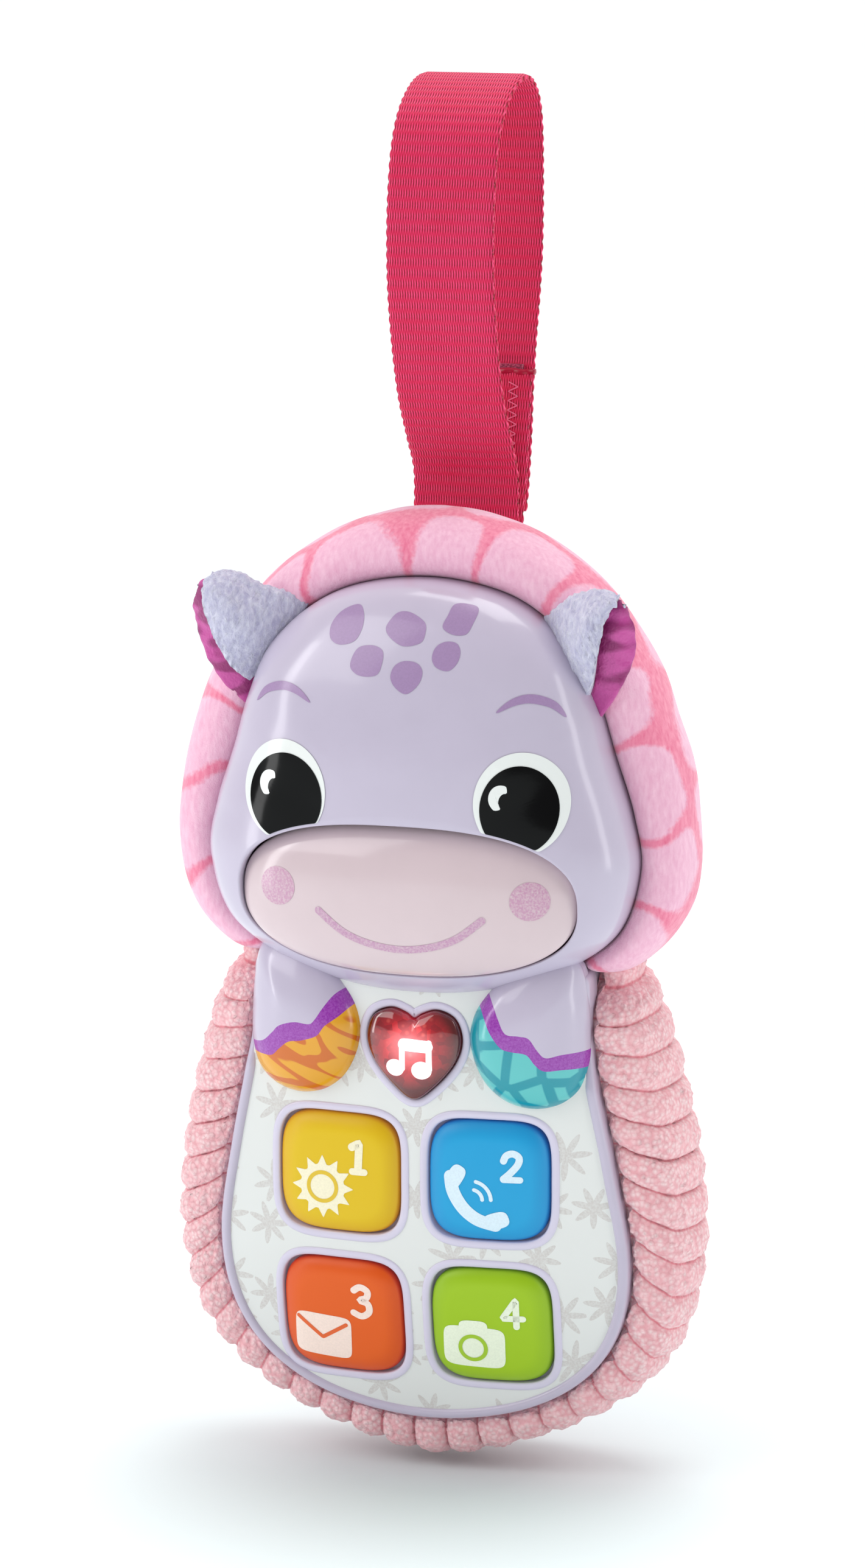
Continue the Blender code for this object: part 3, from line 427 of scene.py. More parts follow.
class Look:
    """A material being made: one Principled shader and the texture nodes that feed it."""

    def __init__(self, name, colour, rough, **settings):
        self.mat = bpy.data.materials.new(name)
        self.mat.use_nodes = True
        self.mat.diffuse_color = colour
        self.tree = self.mat.node_tree
        self.shader = self.tree.nodes["Principled BSDF"]
        self.fill(self.shader, {"Base Color": colour, "Roughness": rough})
        self.fill(self.shader, {k.replace("_", " "): v for k, v in settings.items()})
        coords = self.tree.nodes.new("ShaderNodeTexCoord")
        self.uv = coords.outputs["UV"]
        self.mm = self.vectors("SCALE", coords.outputs["Object"], 1 / MM)

    def fill(self, node, inputs):
        for key, value in inputs.items():
            if isinstance(value, bpy.types.NodeSocket):
                self.tree.links.new(value, node.inputs[key])
            else:
                node.inputs[key].default_value = value

    def node(self, kind, inputs, **props):
        node = self.tree.nodes.new("ShaderNode" + kind)
        for key, value in props.items():
            setattr(node, key, value)
        self.fill(node, inputs)
        return node

    def stretch(self, vector, scale):
        return self.node("Mapping", {"Vector": vector, "Scale": scale}).outputs[0]

    def split(self, vector):
        return self.node("SeparateXYZ", {0: vector}).outputs

    def noise(self, size, detail, vector=None):
        return self.node("TexNoise", {"Vector": vector or self.mm, "Scale": 1 / size, "Detail": detail,
                                      "Roughness": NOISE_ROUGHNESS}).outputs["Fac"]

    def cells(self, size, vector=None, feature="F1", randomness=1.0):
        return self.node("TexVoronoi", {"Vector": vector or self.mm, "Scale": 1 / size,
                                        "Randomness": randomness}, feature=feature).outputs["Distance"]

    def ramp(self, fac, stops):
        node = self.node("ValToRGB", {"Fac": fac})
        elements = node.color_ramp.elements
        while len(elements) < len(stops):
            elements.new(0.5)
        for element, (position, colour) in zip(elements, stops):
            element.position = position
            element.color = colour
        return node.outputs["Color"]

    def mix(self, fac, a, b, blend="MIX"):
        return self.node("Mix", {0: fac, 6: a, 7: b}, data_type="RGBA", blend_type=blend).outputs[2]

    def maths(self, operation, a, b=0.0):
        return self.node("Math", {0: a, 1: b}, operation=operation).outputs[0]

    def vectors(self, operation, a, b, output="Vector"):
        second = "Scale" if operation == "SCALE" else 1
        return self.node("VectorMath", {0: a, second: b}, operation=operation).outputs[output]

    def cell(self, value):
        """How far a value is from the middle of its unit step, from -0.5 to 0.5."""
        return self.maths("SUBTRACT", self.maths("FRACT", value), 0.5)

    def rubbed(self, low, high):
        """Roughness that handling has varied between two values."""
        spread = self.node("MapRange", {"Value": self.noise(3.0, 5.0), "To Min": low, "To Max": high})
        self.fill(self.shader, {"Roughness": spread.outputs[0]})

    def orange_peel(self):
        self.bump(self.noise(1.6, 2.0), 0.006)

    def colour(self, socket):
        self.fill(self.shader, {"Base Color": socket})

    def bump(self, height, distance_mm, strength=1.0):
        old = self.shader.inputs["Normal"]
        inputs = {"Height": height, "Distance": distance_mm * MM, "Strength": strength}
        if old.is_linked:
            inputs["Normal"] = old.links[0].from_socket
        self.fill(self.shader, {"Normal": self.node("Bump", inputs).outputs[0]})


BLACK, WHITE = (0, 0, 0, 1), (1, 1, 1, 1)
NOISE_ROUGHNESS = 0.55
WEAVE_ROW = 2.0
WEAVE_GRAIN = 0.48
FLOWER_PITCH = 10.5  # of the flowers on the label
PETALS = 7
FACET = 1.7  # inside the heart
PATCH_POWER = 3.2  # how square the patches on the hood are


def grey(value):
    return (value, value, value, 1)


def plastic(name, colour, rough=0.2, **settings):
    """Moulded gloss plastic with faint orange peel and handling marks."""
    look = Look(name, colour, rough, **{"Coat_Weight": 0.3, "Coat_Roughness": 0.08, **settings})
    shade = look.ramp(look.noise(9.0, 4.0), [(0.3, grey(0.97)), (0.7, WHITE)])
    look.colour(look.mix(1.0, colour, shade, "MULTIPLY"))
    look.rubbed(rough * 0.8, rough * 1.25)
    look.orange_peel()
    return look.mat


def key_look(name, colour, deep):
    """Slightly clear satin plastic, deeper and darker in colour towards its rounded edge as painted shade: UV
    holds the share outwards.
    """
    look = Look(name, colour, 0.42, Coat_Weight=0.12, Coat_Roughness=0.3, Specular_IOR_Level=0.35)
    # painted shade: the cap's colour darkens over its rounded edge
    edge = look.ramp(look.split(look.uv)["X"], [(0.72, BLACK), (0.95, grey(0.25)), (1.0, grey(0.85))])
    look.colour(look.mix(edge, colour, deep))
    look.rubbed(0.4, 0.5)
    look.orange_peel()
    return look.mat


def printed(name, colour, dots=0.0, under=None):
    """Pad-printed ink; with dots the ink is a fine speckle over the colour under it."""
    look = Look(name, colour, 0.3, Coat_Weight=0.3, Coat_Roughness=0.1)
    grain = look.noise(0.35, 2.0)
    if dots:
        fac = look.ramp(grain, [(0.5 - dots, BLACK), (0.5 + dots * 0.4, WHITE)])
        look.colour(look.mix(fac, under, colour))
    else:
        shade = look.ramp(grain, [(0.35, grey(0.93)), (0.65, WHITE)])
        look.colour(look.mix(1.0, colour, shade, "MULTIPLY"))
    return look.mat


LILAC = rgb(196, 186, 206)
MUZZLE_PINK = rgb(216, 195, 200)
lilac = plastic("lilac_plastic", LILAC, 0.2)
muzzle_pink = plastic("muzzle_plastic", MUZZLE_PINK, 0.16)
key_colours = [rgb(226, 188, 0), rgb(20, 160, 216), rgb(230, 92, 0), rgb(160, 198, 10)]
key_names = ["yellow", "blue", "orange", "green"]
# the darker colours of the painted shade on each key's rounded edge
key_edge_shade = [rgb(206, 120, 0), rgb(14, 92, 178), rgb(196, 20, 6), rgb(104, 152, 0)]
key_mats = [key_look(f"key_{n}", c, d) for n, c, d in zip(key_names, key_colours, key_edge_shade)]
key_lines = [plastic(f"key_line_{n}", c, 0.3) for n, c in zip(key_names, key_colours)]
icon_tints = [rgb(250, 240, 208), rgb(222, 240, 252), rgb(254, 228, 216), rgb(240, 247, 222)]
icon_mats = [printed(f"ink_{n}", c) for n, c in zip(key_names, icon_tints)]
ink_mark = printed("ink_mauve", rgb(164, 134, 176))
ink_smile = printed("ink_smile", rgb(190, 138, 174), dots=0.4, under=MUZZLE_PINK)
ink_cheek = printed("ink_cheek", rgb(198, 146, 176), dots=0.3, under=MUZZLE_PINK)
eye_white = plastic("eye_white", rgb(236, 238, 236), 0.15)
eye_black = plastic("eye_black", rgb(3, 3, 4), 0.1, Specular_IOR_Level=0.12, Coat_Weight=0.12)
# painted shade: a dark sheet stands for the shade inside the muzzle's gap
painted_gap_shade = plastic("painted_gap_shade", rgb(140, 70, 110), 0.5)


def label_look():
    """Printed film: pale grey with scattered seven-petalled flowers, some cut by the label's edge."""
    look = Look("label_film", rgb(217, 216, 214), 0.3, Coat_Weight=0.4, Coat_Roughness=0.12)
    do = look.maths
    grid = look.stretch(look.uv, (1 / FLOWER_PITCH,) * 3)
    where = look.node("TexVoronoi", {"Vector": grid, "Scale": 1.0, "Randomness": 0.72},
                      voronoi_dimensions="2D").outputs
    local = look.vectors("SUBTRACT", grid, where["Position"])
    local = look.split(look.vectors("SCALE", local, FLOWER_PITCH))
    seed = look.split(where["Color"])["X"]
    angle = do("ADD", do("ARCTAN2", local["Y"], local["X"]), do("MULTIPLY", seed, 6.28))
    flat = look.node("CombineXYZ", {0: local["X"], 1: local["Y"]}).outputs[0]
    far = look.vectors("LENGTH", flat, (0, 0, 0), "Value")
    turn = look.cell(do("MULTIPLY", angle, PETALS / (2 * math.pi)))
    aside = do("MULTIPLY", far, do("ABSOLUTE", do("SINE", do("MULTIPLY", turn, 2 * math.pi / PETALS))))
    half_turn = do("MULTIPLY", do("DIVIDE", far, do("ADD", seed, 3.9)), math.pi)
    width = do("POWER", do("MAXIMUM", do("SINE", do("MINIMUM", half_turn, math.pi)), 0.0), 0.5)
    petal = do("GREATER_THAN", do("MULTIPLY", width, 0.62), aside)
    grain = look.ramp(look.noise(0.4, 2.0), [(0.4, grey(0.55)), (0.6, WHITE)])
    look.colour(look.mix(do("MULTIPLY", petal, grain), rgb(226, 226, 224), rgb(206, 200, 197)))
    return look.mat


def arm_look(name, base, mark, kind):
    """A lilac arm whose hoof has an animal print under a purple trim: UV holds the heights above both lines."""
    look = Look(name, LILAC, 0.22, Coat_Weight=0.35, Coat_Roughness=0.08)
    if kind == "stripes":
        streaks = look.node("Mapping", {"Vector": look.mm, "Rotation": (0, math.radians(32), 0),
                                        "Scale": (5.0, 8.0, 0.95)}, vector_type="TEXTURE").outputs[0]
        swirl = look.noise(4.2, 0.6, streaks)
        ring = look.maths("ABSOLUTE", look.cell(look.maths("MULTIPLY", swirl, 5.0)))
        fac = look.ramp(ring, [(0.17, WHITE), (0.21, BLACK)])
    else:
        edges = look.cells(6.0, look.stretch(look.mm, (1, 0.12, 1)), "DISTANCE_TO_EDGE", 0.85)
        fac = look.ramp(edges, [(0.12, BLACK), (0.16, WHITE)])
    hoof = look.mix(fac, base, mark)
    dust = look.ramp(look.noise(0.35, 2.0), [(0.36, rgb(142, 40, 160)), (0.7, rgb(164, 78, 182))])
    height = look.split(look.uv)
    under_top = look.mix(look.maths("GREATER_THAN", height["X"], 0.0), hoof, dust)
    look.colour(look.mix(look.maths("GREATER_THAN", height["Y"], 0.0), under_top, LILAC))
    look.orange_peel()
    return look.mat


def heart_look():
    """Clear red plastic with cut facets, in painted light: painted glints on its facets, painted shade towards
    its edge, and a painted glow round its middle as if a lamp shone from behind it.
    """
    look = Look("heart_clear_red", rgb(120, 8, 14), 0.08, Coat_Weight=1.0, Coat_Roughness=0.03)
    # the point the painted glow spreads from; no lamp stands there
    lamp = tuple(put([-0.3, -18.5, HEART_CENTRE[1] + 1.6]) / MM)
    near = look.maths("DIVIDE", look.vectors("DISTANCE", look.mm, lamp, "Value"), 9.5)
    facets = look.node("TexVoronoi", {"Vector": look.mm, "Scale": 1 / FACET, "Randomness": 1.0})
    # painted light: each facet a brighter or darker red, with a painted glint at its centre
    facet_glints = look.ramp(facets.outputs["Color"], [(0.2, rgb(112, 4, 10)), (0.85, rgb(206, 30, 34))])
    glint_flecks = look.ramp(look.cells(FACET), [(0.1, WHITE), (0.3, BLACK)])
    glinting_red = look.mix(look.maths("MULTIPLY", glint_flecks, 0.4), facet_glints, rgb(255, 120, 100))
    # painted shade: darker red away from the glow
    look.colour(look.mix(look.ramp(near, [(0.35, BLACK), (0.9, WHITE)]), glinting_red, rgb(84, 0, 6)))
    # painted glow: the lens itself gives off light, brightest at its middle
    light = look.ramp(near, [(0.0, (1.0, 0.6, 0.64, 1)), (0.25, (0.8, 0.2, 0.22, 1)),
                             (0.5, (0.22, 0.01, 0.02, 1)), (0.9, (0.02, 0, 0, 1))])
    look.fill(look.shader, {"Emission Color": light, "Emission Strength": 0.85})
    look.bump(look.cells(FACET), 0.05, 0.5)
    return look.mat


def webbing_look(name, base, light):
    """Woven nylon webbing: rows of upright lens-shaped floats, each row half a float along from the last, with
    painted shade in the hollows between floats and a painted highlight on their crowns.
    """
    look = Look(name, base, 0.55, Sheen_Weight=0.05, Sheen_Roughness=0.4, Specular_IOR_Level=0.3)
    do = look.maths
    where = look.split(look.uv)
    across, along = do("DIVIDE", where["X"], WEAVE_GRAIN), do("DIVIDE", where["Y"], 2 * WEAVE_ROW)
    floats = []
    for offset in (0.0, 0.5):
        parts = [do("POWER", do("ABSOLUTE", do("MULTIPLY", look.cell(do("ADD", value, offset)), stretch)), 2.0)
                 for value, stretch in ((across, 2.2), (along, 2.4))]
        floats.append(do("SUBTRACT", 1.0, do("ADD", *parts)))
    height = do("MAXIMUM", do("MAXIMUM", *floats), 0.0)
    tone = look.mix(look.noise(6.0, 2.0), base, light)
    # painted highlight: a paler pink on the crown of each float
    gleam = look.mix(look.noise(0.5, 2.0), tone, rgb(250, 104, 150))
    # painted shade: darker in the hollows between floats
    shade = look.ramp(height, [(0.0, (0.32, 0.04, 0.1, 1)), (0.4, (0.72, 0.4, 0.48, 1)), (0.85, WHITE)])
    body = look.mix(look.ramp(height, [(0.5, BLACK), (1.0, grey(0.8))]), tone, gleam)
    look.colour(look.mix(1.0, body, shade, "MULTIPLY"))
    look.bump(do("POWER", height, 0.6), 0.24)
    look.bump(look.noise(0.2, 2.0), 0.03)
    return look.mat


def fleece_look():
    """Curly boucle pile, darker along its sewn channels, with painted shade between its curls: UV's X counts
    the channels.
    """
    look = Look("boucle_fleece", rgb(246, 186, 190), 0.95, Sheen_Weight=0.35, Sheen_Roughness=0.6)
    curls = look.cells(0.95)
    # painted shade: each curl is pale at its crown and darker where it sinks between curls
    deep = look.ramp(curls, [(0.15, rgb(255, 220, 222)), (0.75, rgb(242, 172, 180))])
    soft = look.ramp(look.noise(11.0, 2.0), [(0.35, BLACK), (0.7, grey(0.4))])
    seam = look.maths("ABSOLUTE", look.cell(look.split(look.uv)["X"]))
    sewn = look.ramp(seam, [(0.445, BLACK), (0.49, WHITE)])
    look.colour(look.mix(sewn, look.mix(soft, deep, rgb(248, 192, 198)), rgb(232, 134, 146)))
    look.bump(curls, -0.4)
    look.bump(look.noise(0.3, 3.0), 0.14)
    return look.mat


def hood_look():
    """Printed velour: rounded pale patches in two rings, parted by pink bands with soft edges."""
    look = Look("hood_velour", rgb(240, 180, 206), 0.85, Sheen_Weight=0.35, Sheen_Roughness=0.5)
    do = look.maths
    bend = look.node("TexNoise", {"Vector": look.uv, "Scale": 0.045, "Detail": 1.0, "Roughness": 0.4})
    shift = look.vectors("SUBTRACT", bend.outputs["Color"], (0.5, 0.5, 0.5))
    spot = look.split(look.vectors("ADD", look.uv, look.vectors("SCALE", shift, 20.0)))
    across = do("DIVIDE", do("ADD", spot["Y"], 5.0), 23.5)
    along = do("ADD", do("DIVIDE", spot["X"], 17.6), do("MULTIPLY", do("FLOOR", across), 0.5))
    parts = [do("POWER", do("ABSOLUTE", do("MULTIPLY", look.cell(value), 2.0)), PATCH_POWER)
             for value in (across, along)]
    size = do("POWER", do("ADD", *parts), 1 / PATCH_POWER)
    ragged = do("ADD", size, do("MULTIPLY", do("SUBTRACT", look.noise(0.7, 4.0), 0.5), 0.16))
    fac = look.ramp(ragged, [(0.83, BLACK), (0.94, WHITE)])
    fibre = look.noise(0.8, 4.0, look.stretch(look.mm, (1, 1, 0.35)))
    pale = look.ramp(fibre, [(0.3, rgb(236, 172, 200)), (0.7, rgb(247, 196, 217))])
    deep = look.ramp(fibre, [(0.3, rgb(232, 112, 146)), (0.7, rgb(246, 152, 178))])
    look.colour(look.mix(fac, pale, deep))
    look.bump(look.noise(0.3, 3.0), 0.1)
    look.bump(fibre, 0.1)
    return look.mat


def fur_look():
    look = Look("ear_pile", rgb(190, 184, 218), 0.95, Sheen_Weight=0.7, Sheen_Roughness=0.5)
    tuft = look.noise(0.8, 4.0, look.stretch(look.mm, (1, 1, 0.5)))
    look.colour(look.ramp(tuft, [(0.3, rgb(180, 176, 208)), (0.7, rgb(220, 218, 236))]))
    look.bump(tuft, 0.5)
    look.bump(look.noise(0.25, 3.0), 0.15)
    return look.mat


def satin_look():
    """Magenta satin lining with a paler tie-dyed print."""
    look = Look("ear_satin", rgb(150, 30, 120), 0.42, Sheen_Weight=0.3, Anisotropic=0.4)
    wave = look.noise(4.5, 0.6, look.stretch(look.mm, (0.6, 0.6, 1.3)))
    fac = look.ramp(wave, [(0.46, BLACK), (0.56, WHITE)])
    look.colour(look.mix(fac, rgb(144, 16, 102), rgb(196, 70, 152)))
    look.bump(look.noise(0.4, 2.0), 0.08)
    look.bump(look.noise(1.6, 2.0), 0.25)
    return look.mat


def tape_look(name, colour):
    look = Look(name, colour, 0.9, Sheen_Weight=0.4)
    loops = look.cells(0.45)
    # painted shade: the colour falls to half in the hollows between the loops
    look.colour(look.ramp(loops, [(0.1, colour), (0.8, tuple(c * 0.5 for c in colour[:3]) + (1,))]))
    look.bump(loops, -0.3)
    return look.mat


def metal_look(name, colour):
    look = Look(name, colour, 0.25, Metallic=1.0)
    look.bump(look.noise(0.8, 3.0, look.stretch(look.mm, (1, 1, 6))), 0.01)
    return look.mat


label_mat = label_look()
rim_lilac = plastic("lilac_rim", rgb(216, 208, 228), 0.3)
amber = arm_look("arm_amber", rgb(228, 160, 22), rgb(208, 104, 4), "stripes")
teal = arm_look("arm_teal", rgb(4, 146, 162), rgb(90, 192, 192), "patches")
heart_red = heart_look()
# painted glow: the printed notes give off light as if lit from behind
glow = Look("heart_symbol_painted_glow", rgb(255, 225, 225), 0.4, Emission_Color=(1.0, 0.78, 0.78, 1),
            Emission_Strength=0.9).mat
web_front = webbing_look("webbing_cerise", rgb(236, 10, 84), rgb(242, 38, 108))
fused = plastic("fused_nylon", rgb(168, 8, 52), 0.35)
stitch = plastic("stitch_thread", rgb(238, 110, 150), 0.5)
fleece = fleece_look()
fleece_plain = tape_look("piping", rgb(238, 166, 176))
velour = hood_look()
pile = fur_look()
satin = satin_look()

# ------------------------------------------------------------------ face


BROW = [(28.8, 146.4), (26.5, 148.8), (23.0, 149.9), (20.0, 149.3), (17.2, 147.5)]
SMILE = [(-15.2, 110.0), (-10.5, 106.4), (-5.5, 104.5), (0, 103.8), (5.5, 104.5), (10.5, 106.4), (15.2, 110.0)]
# each spot's centre, width, height and corners, which are scaled to that width and height
SPOTS = [
    ((-11.6, 161.2), 6.2, 6.7,
     [(5.1, 7.4), (6.2, 5.6), (6.2, 3.2), (5.1, 0.9), (2.4, 0), (0.4, 0.9), (0, 3.2), (1.1, 5.5), (3.1, 7.0)]),
    ((-0.3, 161.1), 7.4, 5.6,
     [(0.5, 4.4), (1.8, 5.9), (4.0, 6.0), (6.8, 4.4), (7.2, 2.4), (6.5, 0.7), (3.5, 0), (1.0, 1.4), (0, 2.9)]),
    ((9.2, 163.0), 5.7, 4.9,
     [(1.4, 5.0), (3.9, 5.1), (6.1, 4.3), (5.6, 1.8), (4.6, 0.1), (2.1, 0), (0, 1.2), (0.6, 3.2)]),
    ((-6.9, 155.5), 5.9, 5.3,
     [(1.4, 5.2), (3.9, 5.6), (5.7, 4.7), (5.8, 2.5), (4.9, 0.3), (1.9, 0), (0, 1.3), (0.2, 3.5)]),
    ((7.6, 156.9), 5.0, 4.9,
     [(2.2, 5.1), (4.2, 4.9), (5.1, 3.4), (4.7, 1.4), (3.2, 0), (1.0, 0.5), (0, 2.1), (0.5, 4.1)]),
    ((0.7, 153.0), 5.8, 5.6,
     [(2.2, 5.6), (4.5, 5.4), (5.7, 4.0), (5.2, 1.8), (3.2, 0), (1.2, 0.8), (0, 2.6), (0.5, 4.6)])]


def make_face():
    angle = np.linspace(0, 2 * np.pi, 260, endpoint=False)
    wide = Outline(both_sides(FACE), MUZZLE_CENTRE)
    outer, inner = wide.radius(angle), opening_outline.radius(angle)
    spokes = np.stack([np.cos(angle), np.sin(angle)], axis=1)

    def ring(radius, y):
        p = np.array(MUZZLE_CENTRE) + spokes * radius[:, None]
        depth = y(p[:, 0], p[:, 1]) if callable(y) else np.full(len(p), y)
        return np.stack([p[:, 0], depth, p[:, 1]], axis=1)

    rings = [ring(outer - 1.8, -4.8), ring(outer - 0.2, -4.8), ring(outer, -5.1), ring(outer, -7.0)]
    for u in np.linspace(0, 1, 48):
        radius = outer - (outer - inner) * u ** 1.8
        rings.append(ring(np.minimum(radius, outer - 0.004), face_y))
    lip = rings[-1][:, 1]
    rings.append(ring(inner - 0.2, lip + 0.12))
    rings.append(ring(inner - 0.35, lip + 0.5))
    rings.append(ring(inner - 0.35, lip + 3.0))
    shell = grid_object("face_shell_skin", np.array(rings), lilac, close_v=True, facing=FRONT)
    ride(shell, "phone", ["face_shell"])

    # painted shade: a dark ring set behind the muzzle's opening, where there is only shade
    gap_shade_sheet = np.array([ring(radius, MUZZLE_SHADE_SHEET_Y) for radius in (inner + 1.5, inner - 3.0)])
    ride(grid_object("muzzle_gap_shade", gap_shade_sheet, painted_gap_shade, close_v=True, facing=FRONT), "phone")

    muzzle = domed("muzzle_skin", muzzle_outline, muzzle_y, muzzle_pink, skirt=5.5, shares=48, around=240)
    ride(muzzle, "muzzle", ["muzzle_button"])

    def above_opening(loop):
        loop = loop.copy()
        x = np.clip(np.abs(loop[:, 0]) / 31.9, 0, 0.999)
        edge = MUZZLE_CENTRE[1] + 14.8 * (1 - x ** 2.4) ** (1 / 2.4) + 0.25
        loop[:, 1] = np.maximum(loop[:, 1], edge)
        return loop

    def on_face(kind, name, *args, **kw):
        ride(kind(name, *args, **kw), "phone")

    for side, name in ((-1, "left"), (1, "right")):
        white = above_opening(superellipse((side * 22.0, 131.4), 8.3, 9.2, 2.0, 120))
        pupil = above_opening(superellipse((side * 21.7, 130.3), 6.85 if side > 0 else 7.35, 7.9, 2.0, 120))
        on_face(patch, f"eye_white_{name}", white, (side * 22.0, 131.6), face_y, eye_white, 0.12)
        on_face(patch, f"pupil_{name}", pupil, (side * 21.6, 131.0), face_y, eye_black, 0.2)
        gx, gz = side * 21.7 - 3.2, 132.4
        outer = [(gx + 2.1 * math.cos(a), gz + 2.4 * math.sin(a)) for a in np.radians(np.arange(62, 243, 20))]
        inner = [(gx + 1.0 + 1.35 * math.cos(a), gz - 0.7 + 1.7 * math.sin(a))
                 for a in np.radians(np.arange(225, 84, -20))]
        gleam = curve(outer + inner, 4, closed=True)
        on_face(patch, f"eye_gleam_{name}", gleam, (gx - 1.0, gz + 0.9), face_y, eye_white, 0.28)
        brow = curve([(side * x, z) for x, z in BROW])
        on_face(stroke, f"brow_{name}", brow, 1.5, face_y, ink_mark, 0.08, taper=True)
        cheek = superellipse((side * 23.5, 113.6), 3.5, 3.5)
        ride(patch(f"cheek_{name}", cheek, (side * 23.5, 113.6), muzzle_y, ink_cheek), "muzzle")
    ride(stroke("smile", curve(SMILE), 1.4, muzzle_y, ink_smile), "muzzle")
    for number, (centre, wide, tall, corners) in enumerate(SPOTS):
        c = np.array(corners, float)
        c = (c - c.min(axis=0)) / (c.max(axis=0) - c.min(axis=0)) - 0.5
        loop = curve(np.array(centre) + c * np.array([wide, tall]), 8, closed=True)
        on_face(patch, f"spot_{number + 1}", loop, centre, face_y, ink_mark)


# ------------------------------------------------------------------ body panel


def make_panel():
    loop = both_sides(PANEL)
    rim = resample(loop, 0.8, closed=True)
    wall = [(-0.2, -7), (0, -6), (0, 0.3), (-0.12, 0.8), (-0.45, 1.15), (-1.0, 1.25), (-1.5, 1.1),
            (-1.85, 0.75), (-2.1, 0.3), (-2.3, -0.6)]
    # the rim sinks towards the chin, and passes under it
    fade = np.clip((rim[:, 1] - 77.0) / 5.0, 0, 1)
    hide = np.where((rim[:, 1] > 89.0) & (np.abs(rim[:, 0]) < 30.5), 3.5, 1.3 * fade)
    normal = outward(rim)
    rows = [on_surface(rim + normal * out, panel_y, height - (hide if height > -1 else 0))
            for out, height in wall]
    panel = grid_object("panel_rim", np.array(rows), lilac, close_v=True, facing=FRONT)
    ride(panel, "phone", ["body_panel"])

    # the label is a fine sheet without the squares that fall on a key, the heart or an arm
    outline = Outline(loop, (0, 52))
    step = 0.6
    xs, zs = np.arange(-40, 40 + step, step), np.arange(9, 100, step)
    x, z = np.meshgrid(xs, zs, indexing="ij")
    points = on_surface(np.stack([x, z], axis=-1), label_y, 0).reshape(-1, 3)
    mid_x, mid_z = x[:-1, :-1] + step / 2, z[:-1, :-1] + step / 2
    under_chin = (mid_z > 85) & (np.abs(mid_x) < 29.5) & (face_outline.share(mid_x, mid_z) > 0.9)
    keep = (outline.share(mid_x, mid_z) < 0.965) | under_chin
    for (cx, cz), half in zip(KEY_CENTRES, KEY_HALF_WIDTH):
        across, up = np.abs((mid_x - cx) / (half + HOLE_GAP)), np.abs((mid_z - cz) / (KEY_HALF + HOLE_GAP))
        keep &= across ** HOLE_POWER + up ** HOLE_POWER > 1
    keep &= heart_outline.share(mid_x, mid_z) > 1.13
    for side in (-1, 1):
        keep &= arm_outlines[side].share(mid_x, mid_z) > 0.93
    faces = np.array(grid_faces(len(xs), len(zs)))[keep.ravel()]
    used = np.unique(faces)
    lookup = np.full(len(points), -1)
    lookup[used] = np.arange(len(used))
    points = points[used]
    label = mesh_object("label_film", points, lookup[faces].tolist(), label_mat, FRONT, points[:, [0, 2]])
    ride(label, "phone", ["panel_label"])

    bezel = [(-1.2, -1.5), (0.12, -1.5), (0.15, 0.3), (0.3, 0.62), (0.56, 0.74), (1.1, 0.8), (1.45, 0.74),
             (1.66, 0.62), (1.72, 0.3)]
    holes = {"heart_bezel": resample(heart_loop, 0.5, closed=True)}
    for index, centre in enumerate(KEY_CENTRES):
        hole = superellipse(centre, KEY_HALF_WIDTH[index], KEY_HALF, HOLE_POWER, 400)
        holes[f"key_bezel_{index + 1}"] = resample(hole, 0.6, closed=True)
    for name, hole in holes.items():
        ride(band(name, hole, bezel, panel_y, rim_lilac), "phone")

    for side, name, mat in ((-1, "left", amber), (1, "right", teal)):
        low, top = curve(TRIM_LOW[side], 10), curve(TRIM_TOP[side], 10)
        low, top = low[np.argsort(low[:, 0])], top[np.argsort(top[:, 0])]

        def above(x, z):
            return np.stack([z - np.interp(x, line[:, 0], line[:, 1]) for line in (low, top)], axis=-1)

        arm = domed(f"arm_{name}", arm_outlines[side], arm_y(side), mat, skirt=2.5, shares=60, around=220,
                    uv=above)
        ride(arm, "phone")


# ------------------------------------------------------------------ keys and heart


